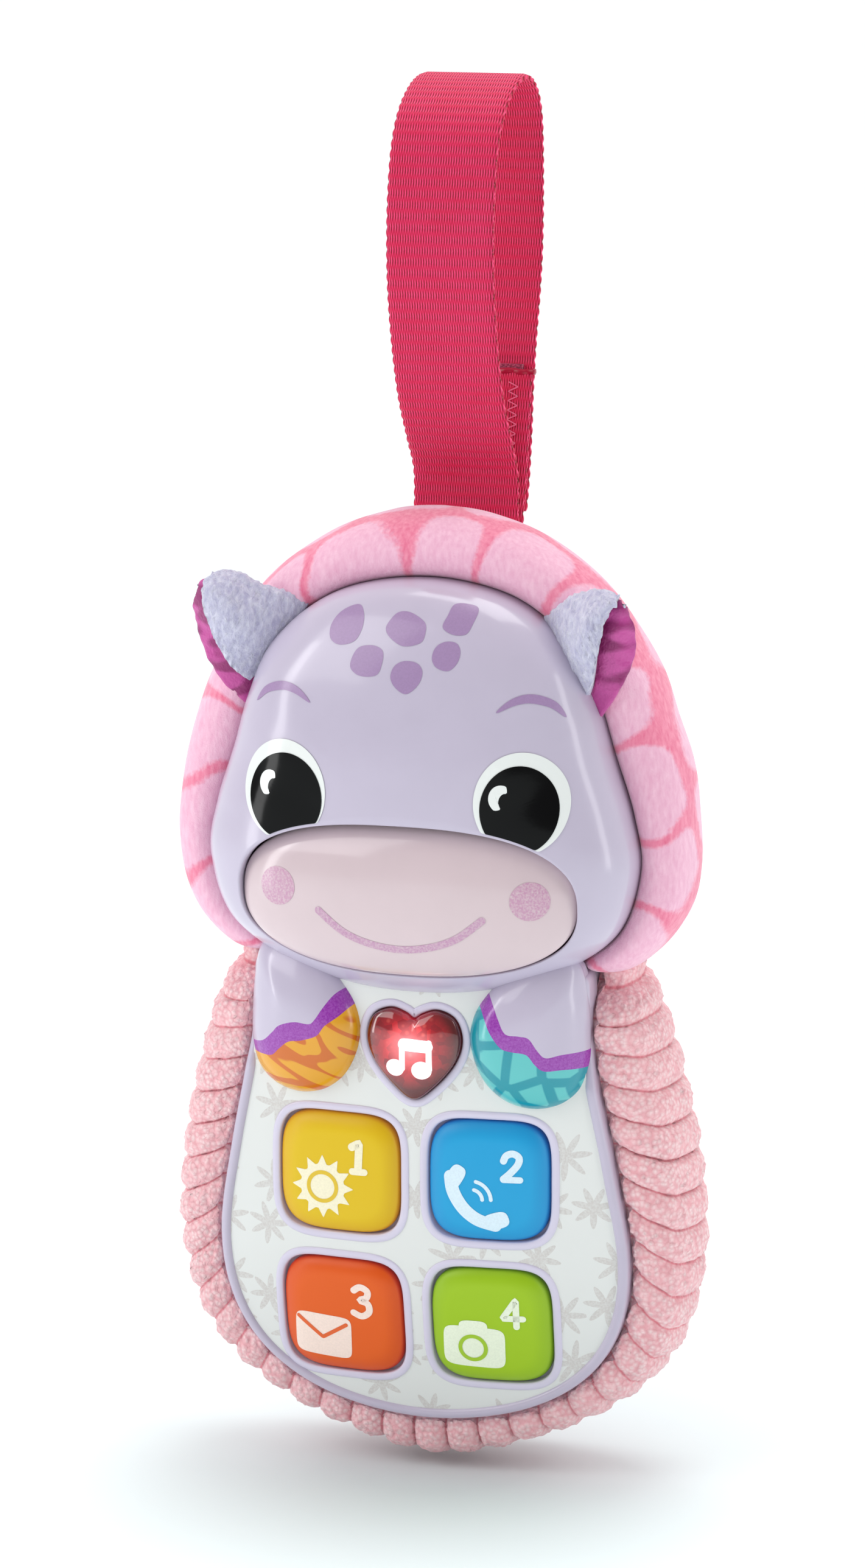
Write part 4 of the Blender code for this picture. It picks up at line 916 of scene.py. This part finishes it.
def make_keys():
    for index, centre in enumerate(KEY_CENTRES):
        outline = Outline(superellipse(centre, KEY_HALF_WIDTH[index], KEY_HALF, KEY_POWER, 400), centre)

        def share(x, z):
            return np.stack([key_share(index, x, z), 0 * x], axis=-1)

        key = domed(f"key_cap_{index + 1}", outline, key_y(index), key_mats[index], skirt=3.9, shares=44,
                    around=200, uv=share)
        ride(key, f"key_{index + 1}", [f"key_{index + 1}"])

    def mark(index, name, kind, *args, **kw):
        depth = key_y(index)
        obj = kind(f"icon_{index + 1}_{name}", *args, depth, kw.pop("mat", icon_mats[index]), **kw)
        ride(obj, f"key_{index + 1}")

    def local(index, points):
        return np.array(points, float) + np.array(ICON_CENTRES[index])

    # sun
    cx, cz = local(0, [(-3.3, -2.9)])[0]
    star = []
    for k in range(12):
        a = 2 * math.pi * k / 12 + math.pi / 2
        for da, r in ((-0.2, 4.35), (0.0, 6.1), (0.2, 4.35)):
            star.append((cx + r * math.cos(a + da), cz + r * math.sin(a + da)))
    mark(0, "sun", patch, star, (cx, cz))
    ring = superellipse((cx, cz), 2.75, 2.75)
    mark(0, "sun_ring", stroke, ring, 0.75, lift=0.09, closed=True, mat=key_lines[0])
    mark(0, "digit", stroke, local(0, [(2.5, 5.2), (3.9, 6.0), (3.7, 0.8)]), 1.5)
    mark(0, "digit_foot", stroke, local(0, [(2.6, 0.6), (4.9, 0.6)]), 1.3, lift=0.07)
    # handset
    handset = curve([(-6.9, 1.2), (-6.4, -1.6), (-4.6, -4.6), (-2.0, -6.7), (1.2, -7.7)], 14)
    mark(1, "handset", stroke, local(1, handset), 2.5)
    ear, mouth = local(1, [(-6.0, 1.3), (1.5, -6.8)])
    mark(1, "ear_cup", patch, superellipse(ear, 2.3, 1.5, 3, 60, 60), ear, lift=0.08)
    mark(1, "mouth_cup", patch, superellipse(mouth, 2.4, 1.6, 3, 60, 18), mouth, lift=0.08)
    for number, radius in enumerate((1.9, 3.5)):
        arc = [(-2.9 + radius * math.cos(a), -2.9 + radius * math.sin(a))
               for a in np.linspace(math.radians(2), math.radians(78), 12)]
        mark(1, f"wave_{number + 1}", stroke, local(1, arc), 0.7)
    two = curve([(2.9, 4.7), (3.4, 5.7), (4.6, 6.1), (5.7, 5.4), (5.5, 4.1), (4.2, 2.5), (2.9, 1.3)], 8)
    mark(1, "digit", stroke, local(1, two), 1.3)
    mark(1, "digit_foot", stroke, local(1, [(2.9, 1.2), (5.9, 1.2)]), 1.2, lift=0.07)
    # envelope
    middle = local(2, [(-4.4, -4.5)])[0]
    mark(2, "envelope", patch, superellipse(middle, 5.6, 4.3, 7, 120, -3), middle)
    flap = middle + np.array([(-4.8, 3.4), (-0.1, -0.4), (4.7, 2.6)])
    mark(2, "flap", stroke, flap, 0.75, lift=0.09, mat=key_lines[2])
    three = curve([(2.2, 5.4), (3.4, 6.1), (4.8, 5.4), (4.6, 4.1), (3.3, 3.5), (4.8, 2.9), (5.0, 1.3),
                   (3.6, 0.3), (2.0, 0.9)], 8)
    mark(2, "digit", stroke, local(2, three), 1.3)
    # camera
    middle = local(3, [(-3.4, -4.0)])[0]
    hump, lens = middle + (0, 3.9), middle + (-0.2, -0.2)
    mark(3, "camera", patch, superellipse(middle, 5.8, 4.1, 6, 120, -2), middle)
    mark(3, "camera_hump", patch, superellipse(hump, 2.7, 1.5, 3.5, 60), hump, lift=0.07)
    mark(3, "lens", stroke, superellipse(lens, 2.4, 2.4), 0.75, lift=0.1, closed=True, mat=key_lines[3])
    mark(3, "digit", stroke, local(3, [(4.7, 0.6), (4.7, 5.9), (2.2, 2.2), (5.9, 2.2)]), 1.2)

    def note(kind, name, *args):
        ride(kind(name, *args), "heart")

    heart = domed("heart_lens", heart_outline, heart_y, heart_red, skirt=6.0, shares=44, around=200)
    ride(heart, "heart", ["heart_button"])
    x, z = HEART_CENTRE[0] + 0.3, HEART_CENTRE[1] + 0.5
    for number, (dx, dz, r) in enumerate(((-3.3, -3.2, 1.75), (1.7, -3.4, 1.85))):
        centre = (x + dx, z + dz)
        head = superellipse(centre, r, r * 0.92, 2, 60)
        note(patch, f"note_head_{number + 1}", head, centre, heart_y, glow, 0.06)
    for number, dx in enumerate((-1.9, 3.1)):
        stem = [(x + dx, z - 3.2), (x + dx, z + 1.8)]
        note(stroke, f"note_stem_{number + 1}", stem, 1.1, heart_y, glow, 0.08)
    note(stroke, "note_beam", [(x - 1.5, z + 1.3), (x + 2.7, z + 1.1)], 2.3, heart_y, glow, 0.1)


# ------------------------------------------------------------------ jacket


def jacket_front_y(x, z):
    t = np.clip((z - 88.0) / 9.0, 0, 1)
    t = t * t * (3 - 2 * t)
    return (panel_y(np.minimum(np.abs(x), 39.0), z) + 1.0) * (1 - t) - 4.4 * t


def matched(outer, edge):
    """For each point of one outline, the point of the other that is as far up the same side of it."""
    result = np.empty_like(outer)
    for flip in (1, -1):
        pick = (outer[:, 0] * flip > 0) | ((outer[:, 0] == 0) & (flip == 1))
        mine, theirs = walk(outer, flip), walk(edge, flip)
        for i in np.nonzero(pick)[0]:
            k = int(np.argmin(np.abs(mine["line"] - outer[i]).sum(axis=1)))
            t = mine["share"][k]
            result[i] = [np.interp(t, theirs["share"], theirs["line"][:, c]) for c in (0, 1)]
    return result


def walk(loop, flip):
    """One side of a closed outline from bottom to top, with a share of 0..1 below the neck and 1..2 above."""
    start, end = int(np.argmin(loop[:, 1])), int(np.argmax(loop[:, 1]))
    order = np.roll(loop, -start, axis=0)
    stop = (end - start) % len(loop)
    line = order[:stop + 1] if flip > 0 else np.vstack([order[:1], order[:stop - 1:-1]])
    d = lengths(line)
    neck = int(np.argmax(line[:, 1] >= NECK_Z))
    share = np.where(np.arange(len(line)) <= neck, d / d[neck], 1 + (d - d[neck]) / (d[-1] - d[neck]))
    return {"line": line, "share": share}


def make_jacket():
    """A quilted sleeve of padded ribs, from the panel's edge round to the flat back."""
    edge = resample(both_sides(CASE), 0.25, closed=True)
    edge = edge + outward(edge) * 0.15
    outer = both_sides(JACKET, 16)
    outer = resample(outer, lengths(np.vstack([outer, outer[:1]]))[-1] / 760, closed=True)
    outer = np.roll(outer, -int(np.argmin(outer[:, 1])), axis=0)
    inner = matched(outer, edge)
    along = lengths(np.vstack([outer, outer[:1]]))
    signed = np.where(along[:-1] > along[-1] / 2, along[:-1] - along[-1], along[:-1])
    channel = signed / RIB_PITCH + 0.5
    rib = np.sqrt(np.clip(1 - (2 * (channel % 1.0) - 1) ** 2, 0, 1)) ** 0.8
    below_head = np.clip((103 - outer[:, 1]) / 4, 0, 1)
    front = jacket_front_y(inner[:, 0], inner[:, 1])
    stations = [(0.0, front + 2.0), (0.06, front - 0.9), (0.4, front - 1.3), (0.8, front * 0.72 - 0.9),
                (1.0, 1.0), (0.95, 8.0), (0.68, 14.5), (0.3, 17.6), (0.0, JACKET_BACK_Y)]
    control = np.array([np.insert(inner + (outer - inner) * t, 1, y, axis=1) for t, y in stations])
    points = curve(control.reshape(len(control), -1), 9).reshape(-1, *control.shape[1:])
    du = np.roll(points, -1, axis=1) - np.roll(points, 1, axis=1)
    normal = unit(np.cross(du, np.gradient(points, axis=0)))
    if np.sum(normal * (points - points.mean(axis=0, keepdims=True))) < 0:
        normal = -normal
    v = np.linspace(0, 1, len(points))[:, None]
    sewn = np.clip(np.minimum(v / 0.08, (1 - v) / 0.12), 0, 1) ** 0.6
    points = points + normal * ((rib * 1.9 - 2.8) * sewn * below_head)[..., None]
    curls = lumps(points, (1.1, 1.0, NO_SHIFT), (0.6, 0.6, (9, 4, 2)))
    points = points + normal * (curls * 0.46 * sewn)[..., None]
    quilt = np.stack(np.broadcast_arrays(channel, v), axis=-1)
    obj = grid_object("quilted_jacket", points, fleece, close_v=True, uv=quilt)
    fix_outward(obj, (0, 2, 70))
    ride(obj, "phone", ["plush_body"])

    # flat backing cloth, from the jacket's rear edge to the opening round the back plate
    rel = inner - np.array(PLATE_CENTRE)
    size = (np.abs(rel[:, 0] / 21.6) ** 5 + np.abs(rel[:, 1] / 39.1) ** 5) ** 0.2
    opening = np.array(PLATE_CENTRE) + rel / size[:, None]
    sheet = [np.insert(inner * (1 - t) + opening * t, 1, JACKET_BACK_Y - 0.02, axis=1)
             for t in np.linspace(0, 1, 16)]
    flat_uv = np.full((len(sheet), len(inner), 2), 0.5)
    backing = grid_object("jacket_back", np.array(sheet), fleece, close_v=True, facing=(0, 1, 0), uv=flat_uv)
    ride(backing, "phone")


def make_back_trim():
    """Piping round the opening for the back plate, and the stitched patch over the strap's root."""
    opening = superellipse(PLATE_CENTRE, 21.3, 38.8, 5, 400)
    rounds = np.insert(np.vstack([opening, opening[:1]]), 1, JACKET_BACK_Y + 0.25, axis=1)
    ride(thread("back_piping", rounds, 0.75, fleece_plain), "phone")
    (x0, _, z0), (x1, back, z1) = ((np.array(corner) - TOY_ORIGIN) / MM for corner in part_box("strap_anchor"))
    y, inset = back + 0.08, 1.4
    corners = [(x0 + inset, z0 + inset), (x1 - inset, z0 + inset), (x1 - inset, z1 - inset),
               (x0 + inset, z1 - inset)]
    runs = list(zip(corners, corners[1:] + corners[:1])) + [(corners[0], corners[2]), (corners[1], corners[3])]
    number = 0
    for a, b in runs:
        a, b = np.array(a), np.array(b)
        count = int(np.linalg.norm(b - a) / 1.9)
        for k in range(count):
            p, q = a + (b - a) * (k + 0.12) / count, a + (b - a) * (k + 0.82) / count
            number += 1
            line = [(p[0], y, p[1]), ((p[0] + q[0]) / 2, y + 0.12, (p[1] + q[1]) / 2), (q[0], y, q[1])]
            ride(thread(f"box_stitch_{number}", line, 0.16, stitch), "phone")


def fix_outward(obj, centre):
    """Turns a closed-in surface's normals to point away from a point inside it."""
    mesh = obj.data
    middle = Vector(put(centre))
    total = sum(((f.center - middle).dot(f.normal) * f.area for f in mesh.polygons))
    if total < 0:
        mesh.flip_normals()


# ------------------------------------------------------------------ hood and ears


def make_hood():
    """A sewn cushion that fills the space between the head and the hood's outline."""
    centre = (0, 125)
    rim = Outline(both_sides(FACE), centre)
    head = Outline(both_sides(JACKET), centre)
    half = curve(HOOD, 12)
    outer = Outline(np.vstack([half, half[-2::-1] * np.array([-1, 1])]), centre)
    start = math.atan2(HOOD[0][1] - centre[1], HOOD[0][0]) + 0.012
    angles = np.linspace(start, math.pi - start, 420)
    along = lengths(outer.point(angles))
    rings, uv = [], []
    for a, s in zip(angles, along):
        r_face, r_out = float(rim.radius(a)), float(outer.radius(a))
        r_head = min(float(head.radius(a)) + 0.5, r_face - 1.2)
        width = max(r_out - r_face, 0.25)
        e = min(width / 7.0, 1.0) ** 0.5
        from_end = min(s, along[-1] - s)
        back = min(max((from_end - 3.0) / 16.0, 0.0), 1.0) ** 0.6
        section = [(r_head, 2.0 + 6.0 * back), (r_head, -1.0), (r_head + 0.3, -3.9), (r_face - 0.2, -4.4),
                   (r_face - 0.1, -7.0), (r_face + 0.1 * width + 0.2, -7.6 - 1.9 * e),
                   (r_face + 0.45 * width, -7.4 - 2.8 * e), (r_face + 0.82 * width, -5.6 - 1.9 * e),
                   (r_out, -2.2 + 1.8 * back), (r_out - 0.1 * width, 2.0 + 4.2 * back),
                   (r_face + 0.5 * width, 3.0 + 7.6 * back), (r_head + 1.6, 3.0 + 7.9 * back)]
        line = resample(curve(section, 8, closed=True), 0.5, closed=True)
        wanted = np.linspace(0, len(line), 96, endpoint=False)
        line = np.stack([np.interp(wanted, np.arange(len(line) + 1), np.append(line[:, k], line[0, k]))
                         for k in (0, 1)], axis=1)
        d = lengths(line)
        begin = d[int(np.argmin(np.hypot(line[:, 0] - r_face, line[:, 1] + 5.0)))]
        rings.append(np.stack([centre[0] + line[:, 0] * math.cos(a), line[:, 1],
                               centre[1] + line[:, 0] * math.sin(a)], axis=1))
        uv.append(np.stack([np.full(len(line), s), d - begin], axis=1))
    points = np.array(rings)
    away = unit(points - points.mean(axis=1, keepdims=True))
    points = points + away * lumps(points, (13.0, 1.0, NO_SHIFT))[..., None] * 0.5
    obj = grid_object("padded_hood", points, velour, close_v=True, uv=np.array(uv), caps=True)
    recalc(obj)
    ride(obj, "hood", ["hood"])


def recalc(obj):
    """Turns a closed surface's normals outwards."""
    bm = bmesh.new()
    bm.from_mesh(obj.data)
    bmesh.ops.recalc_face_normals(bm, faces=bm.faces)
    bm.to_mesh(obj.data)
    bm.free()


def bend_at_root(obj, side, node):
    """Hides the CAD piece of an ear that this mesh replaces, and bakes the mesh's placement into it."""
    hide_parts(node)
    root, beyond = (put([side * x, -10.0, z]) for x, z in ((28.0, 155.0), (34.0, 157.7)))
    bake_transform(obj)


# each ear's front, top and back edge, from its root to its tip
EAR_EDGES = {
    -1: ([(-32.6, -11.6, 148.9), (-35.0, -14.6, 152.0), (-37.4, -16.4, 157.6), (-39.3, -16.2, 163.4),
          (-39.4, -14.6, 166.6)],
         [(-22.6, -8.2, 162.0), (-26.6, -11.0, 163.8), (-30.4, -12.4, 165.2), (-34.6, -13.4, 167.6),
          (-38.4, -14.2, 167.6)],
         [(-33.8, -8.8, 144.4), (-38.0, -10.8, 149.6), (-40.8, -11.6, 156.4), (-41.9, -12.4, 162.2),
          (-40.6, -13.8, 165.8)]),
    1: ([(31.0, -11.6, 148.8), (32.6, -14.6, 152.2), (33.8, -16.4, 157.2), (34.2, -16.2, 162.6),
         (35.6, -14.6, 166.2)],
        [(23.0, -8.2, 161.2), (26.0, -11.0, 163.8), (29.8, -12.4, 166.4), (33.6, -13.4, 167.4),
         (36.8, -14.2, 166.8)],
        [(30.9, -8.8, 143.4), (35.2, -11.2, 149.0), (38.6, -12.4, 155.6), (39.4, -12.9, 160.8),
         (37.6, -14.0, 166.0)])}


def make_ears():
    """Each ear is a folded leaf: pile outside, satin inside, opening away from the head."""
    for side, name in ((-1, "left"), (1, "right")):
        rows = []
        front, top, back = (curve(edge, 14) for edge in EAR_EDGES[side])
        for f, t, b, share in zip(front, top, back, np.linspace(0, 1, len(front))):
            puff = max(math.sin(math.pi * share), 0) ** 0.7
            fore = (f + t) / 2 + np.array([0, -2.4 * puff - 0.3, 0])
            deep = f * 0.3 + t * 0.7 + np.array([0, 1.2, 0])
            swell = (deep + b) / 2 + np.array([side * 0.6, -1.5 * puff, 0])
            fold = [t + np.array([0, -0.4, 0.3]), t + np.array([0, 0.8, 0.2])]
            rows.append(curve([f, fore, *fold, deep, swell, b], 7))
        leaf = np.array(rows)
        normal = unit(np.cross(np.gradient(leaf, axis=0), np.gradient(leaf, axis=1)))
        if np.sum(normal[:, :10, 1]) > 0:
            normal = -normal
        fuzz = lumps(leaf, (0.9, 1.0, NO_SHIFT), (0.45, 0.7, NO_SHIFT))
        outer = leaf + normal * (0.75 + fuzz * 0.4)[..., None]
        inner = leaf - normal * 0.35
        closed = np.concatenate([outer, inner[:, ::-1]], axis=1)
        ear = grid_object(f"ear_pile_{name}", closed, pile, close_v=True, caps=True)
        recalc(ear)
        bend_at_root(ear, side, f"ear_{name}")
        crease = lumps(leaf, (np.array([3.0, 3.0, 1.6]), 1.0, NO_SHIFT))
        lining = leaf - normal * (0.75 + crease * 0.5)[..., None]
        # the satin turns over the edge of the pile
        edge, away = lining[:, -1], unit(lining[:, -1] - lining[:, -4])
        lip = np.stack([edge + away * out + normal[:, -1] * up
                        for out, up in ((0.5, 0), (0.75, 0.7), (0.3, 1.3))], axis=1)
        cloth = grid_object(f"ear_satin_{name}", np.concatenate([lining, lip], axis=1), satin)
        bend_at_root(cloth, side, f"ear_lining_{name}")


# ------------------------------------------------------------------ webbing


def webbing(name, path, width, thick, mat):
    """A woven strip lying across X, with a fine rib for each row and scalloped edges."""
    line = resample(curve(path, 16), WEAVE_ROW / 8)
    along = lengths(line)
    tangent = unit(np.gradient(line, axis=0))
    normal = np.stack([-tangent[:, 1], tangent[:, 0]], axis=1)
    columns = 22
    wave = np.abs(np.sin(np.pi * along / WEAVE_ROW))
    points, uv = [], []
    for face in (1, -1):
        for k in range(columns):
            t = 2 * k / (columns - 1) - 1
            x = t * (width / 2 - 0.26 + 0.26 * wave) * face
            inside = 0 < k < columns - 1
            off = face * (thick / 2 + (0.16 * wave ** 0.7 - 0.12 if inside else -0.3))
            y, z = (line[:, i] + normal[:, i] * off for i in (0, 1))
            points.append(np.stack([x, y, z], axis=1))
            uv.append(np.stack([x, along], axis=1))
    obj = grid_object(name, np.stack(points, axis=1), mat, close_v=True, uv=np.stack(uv, axis=1), caps=True)
    recalc(obj)
    return obj


def thread(name, path, radius, mat):
    """A round thread along 3-D points."""
    line = resample(np.array(path, float), 0.2)
    tangent = unit(np.gradient(line, axis=0))
    first = unit(np.cross(tangent, np.array([0.3, 1.0, 0.2])))
    second = np.cross(tangent, first)
    a = np.linspace(0, 2 * np.pi, 6, endpoint=False)
    rows = [line + radius * (first * math.cos(t) + second * math.sin(t)) for t in a]
    return grid_object(name, np.stack(rows, axis=1), mat, close_v=True, caps=True)


def make_strap():
    loop = webbing("webbing_loop", STRAP, 20.0, 1.2, web_front)
    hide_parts("strap_front", "strap_rear")
    start = put([0, 26.5, 254.8])
    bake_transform(loop)
    tab = webbing("webbing_tab", STRAP_TAB, 20.6, 1.1, web_front)
    ride(tab, "strap", ["strap_tab"])
    y, z = STRAP_TAB[0]
    bead = [(x, y - 0.1 + 0.12 * math.sin(x * 2.1), z + 0.15 + 0.1 * math.sin(x * 1.3))
            for x in np.linspace(-10.2, 10.9, 60)]
    ride(thread("fused_end", bead, 0.62, fused), "strap")
    spine = curve(STRAP_TAB, 16)
    stitch_z = np.arange(181.0, z - 1.2, 0.85)
    ys = np.interp(stitch_z, spine[::-1, 1], spine[::-1, 0])
    for number, middle in enumerate((-7.0, 7.0)):
        zigzag = [(middle + (0.9 if k % 2 else -0.9), y - 0.72, z)
                  for k, (y, z) in enumerate(zip(ys, stitch_z))]
        ride(thread(f"zigzag_stitch_{number + 1}", zigzag, 0.13, stitch), "strap")


# ------------------------------------------------------------------ the CAD nodes that still show


def dress_frame():
    """Materials for the CAD nodes that no piece replaces."""
    looks = {"rear_case": lilac, "battery_door": lilac, "body_panel": lilac, "strap_anchor": web_front,
             "loop_tape": tape_look("loop_tape", rgb(172, 40, 82)),
             "hook_tape": tape_look("hook_tape", rgb(206, 84, 124))}
    plastics = [("volume_slider", "slider_white", (225, 222, 230), 0.35),
                ("circuit_board", "board_green", (28, 92, 56), 0.4),
                ("muzzle_switch_board", "board_green_2", (28, 92, 56), 0.4),
                ("keypad_membrane", "silicone", (206, 206, 200), 0.6),
                ("muzzle_switch_dome", "silicone_dome", (206, 206, 200), 0.6),
                ("sound_chip", "chip_resin", (24, 24, 26), 0.5),
                ("speaker", "speaker_cone", (38, 38, 42), 0.6),
                ("heart_led", "led_resin", (220, 220, 222), 0.1),
                ("battery_1", "cell_sleeve", (44, 62, 120), 0.3),
                ("battery_2", "cell_sleeve_2", (44, 62, 120), 0.3)]
    for node, name, colour, rough in plastics:
        looks[node] = plastic(name, rgb(*colour), rough)
    steel = metal_look("plated_steel", rgb(198, 198, 202))
    wire = plastic("wire_red", rgb(190, 36, 40), 0.45)
    for name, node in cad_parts.items():
        mat = looks.get(name)
        if mat is None and any(word in name for word in ("screw", "spring", "contact", "slide_switch")):
            mat = steel
        if mat is None and "wire" in name:
            mat = wire
        if mat is not None:
            for slot in node.material_slots:
                slot.material = mat


# ------------------------------------------------------------------ studio


CAMERA_AZIMUTH, CAMERA_ELEVATION, CAMERA_DISTANCE = 16, 12, 950.0
CAMERA_TARGET = np.array([-1.2, 0.0, 128.8])
SENSOR = 36
FRAME_HEIGHT = 286.4  # what the long side of the picture takes in at the target
FLOOR_Z = -0.8
FAR = 6000


def add_object(name, data, place, towards=None):
    """Puts a camera, lamp or floor in the scene, with its back to a direction if one is given."""
    obj = bpy.data.objects.new(name, data)
    bpy.context.scene.collection.objects.link(obj)
    obj.location = place
    if towards is not None:
        obj.rotation_mode = "QUATERNION"
        obj.rotation_quaternion = Vector(towards).to_track_quat("Z", "Y")
    return obj


def make_camera():
    azimuth, elevation = math.radians(CAMERA_AZIMUTH), math.radians(CAMERA_ELEVATION)
    away = np.array([math.sin(azimuth) * math.cos(elevation), -math.cos(azimuth) * math.cos(elevation),
                     math.sin(elevation)])
    data = bpy.data.cameras.new("camera")
    data.sensor_width = SENSOR
    data.lens = SENSOR * CAMERA_DISTANCE / FRAME_HEIGHT
    data.clip_start, data.clip_end = 0.05, 50
    bpy.context.scene.camera = add_object("camera", data, put(CAMERA_TARGET + away * CAMERA_DISTANCE), away)


def make_floor():
    """A pale floor that glows faintly away from the toy and not near it, which paints a shadow round the toy's
    base.
    """
    look = Look("floor_painted_shadow", (0.72, 0.81, 0.82, 1), 0.7, Emission_Color=WHITE, Specular_IOR_Level=0.2)
    # painted shadow: the floor glows less the nearer it lies to the toy
    away = look.vectors("DISTANCE", look.mm, tuple(put((0, 0, 0)) / MM), "Value")
    lift = look.node("MapRange", {"Value": away, "From Min": 18.0, "From Max": 120.0, "To Min": 0.0,
                                  "To Max": 0.46})
    look.fill(look.shader, {"Emission Strength": lift.outputs[0]})
    mesh = bpy.data.meshes.new("floor")
    corners = [put((x, y, FLOOR_Z)).tolist() for x, y in ((-FAR, -FAR), (FAR, -FAR), (FAR, FAR), (-FAR, FAR))]
    mesh.from_pydata(corners, [], [(0, 1, 2, 3)])
    mesh.materials.append(look.mat)
    add_object("floor", mesh, (0, 0, 0))


def make_world():
    """Even white light, weaker from the front."""
    world = bpy.data.worlds.new("studio")
    world.use_nodes = True
    tree = world.node_tree
    sky = tree.nodes["Background"].inputs
    sky["Color"].default_value = WHITE
    split = tree.nodes.new("ShaderNodeSeparateXYZ")
    tree.links.new(tree.nodes.new("ShaderNodeTexCoord").outputs["Generated"], split.inputs[0])
    ramp = tree.nodes.new("ShaderNodeMapRange")
    tree.links.new(split.outputs["Y"], ramp.inputs["Value"])
    for key, value in (("From Min", -0.6), ("From Max", 0.35), ("To Min", 0.33), ("To Max", 1.0)):
        ramp.inputs[key].default_value = value
    tree.links.new(ramp.outputs[0], sky["Strength"])
    bpy.context.scene.world = world


def area(name, place, aim, wide, tall, power):
    lamp = bpy.data.lights.new(name, "AREA")
    lamp.shape = "RECTANGLE"
    lamp.size, lamp.size_y = wide * MM, tall * MM
    lamp.energy = power
    add_object(name, lamp, put(place), Vector(place) - Vector(aim))


make_face()
make_panel()
make_keys()
make_jacket()
make_back_trim()
make_hood()
make_ears()
make_strap()
dress_frame()
make_camera()
make_floor()
make_world()
area("key_light", (-480, -520, 640), (0, 0, 110), 560, 560, 2.2)
area("strip_left", (-520, -300, 240), (0, 0, 130), 80, 520, 0.65)
area("strip_right", (560, -160, 260), (0, 0, 120), 90, 520, 0.5)
area("top_light", (60, 120, 720), (0, 0, 100), 420, 320, 1.5)
bpy.context.scene.view_settings.view_transform = "Standard"
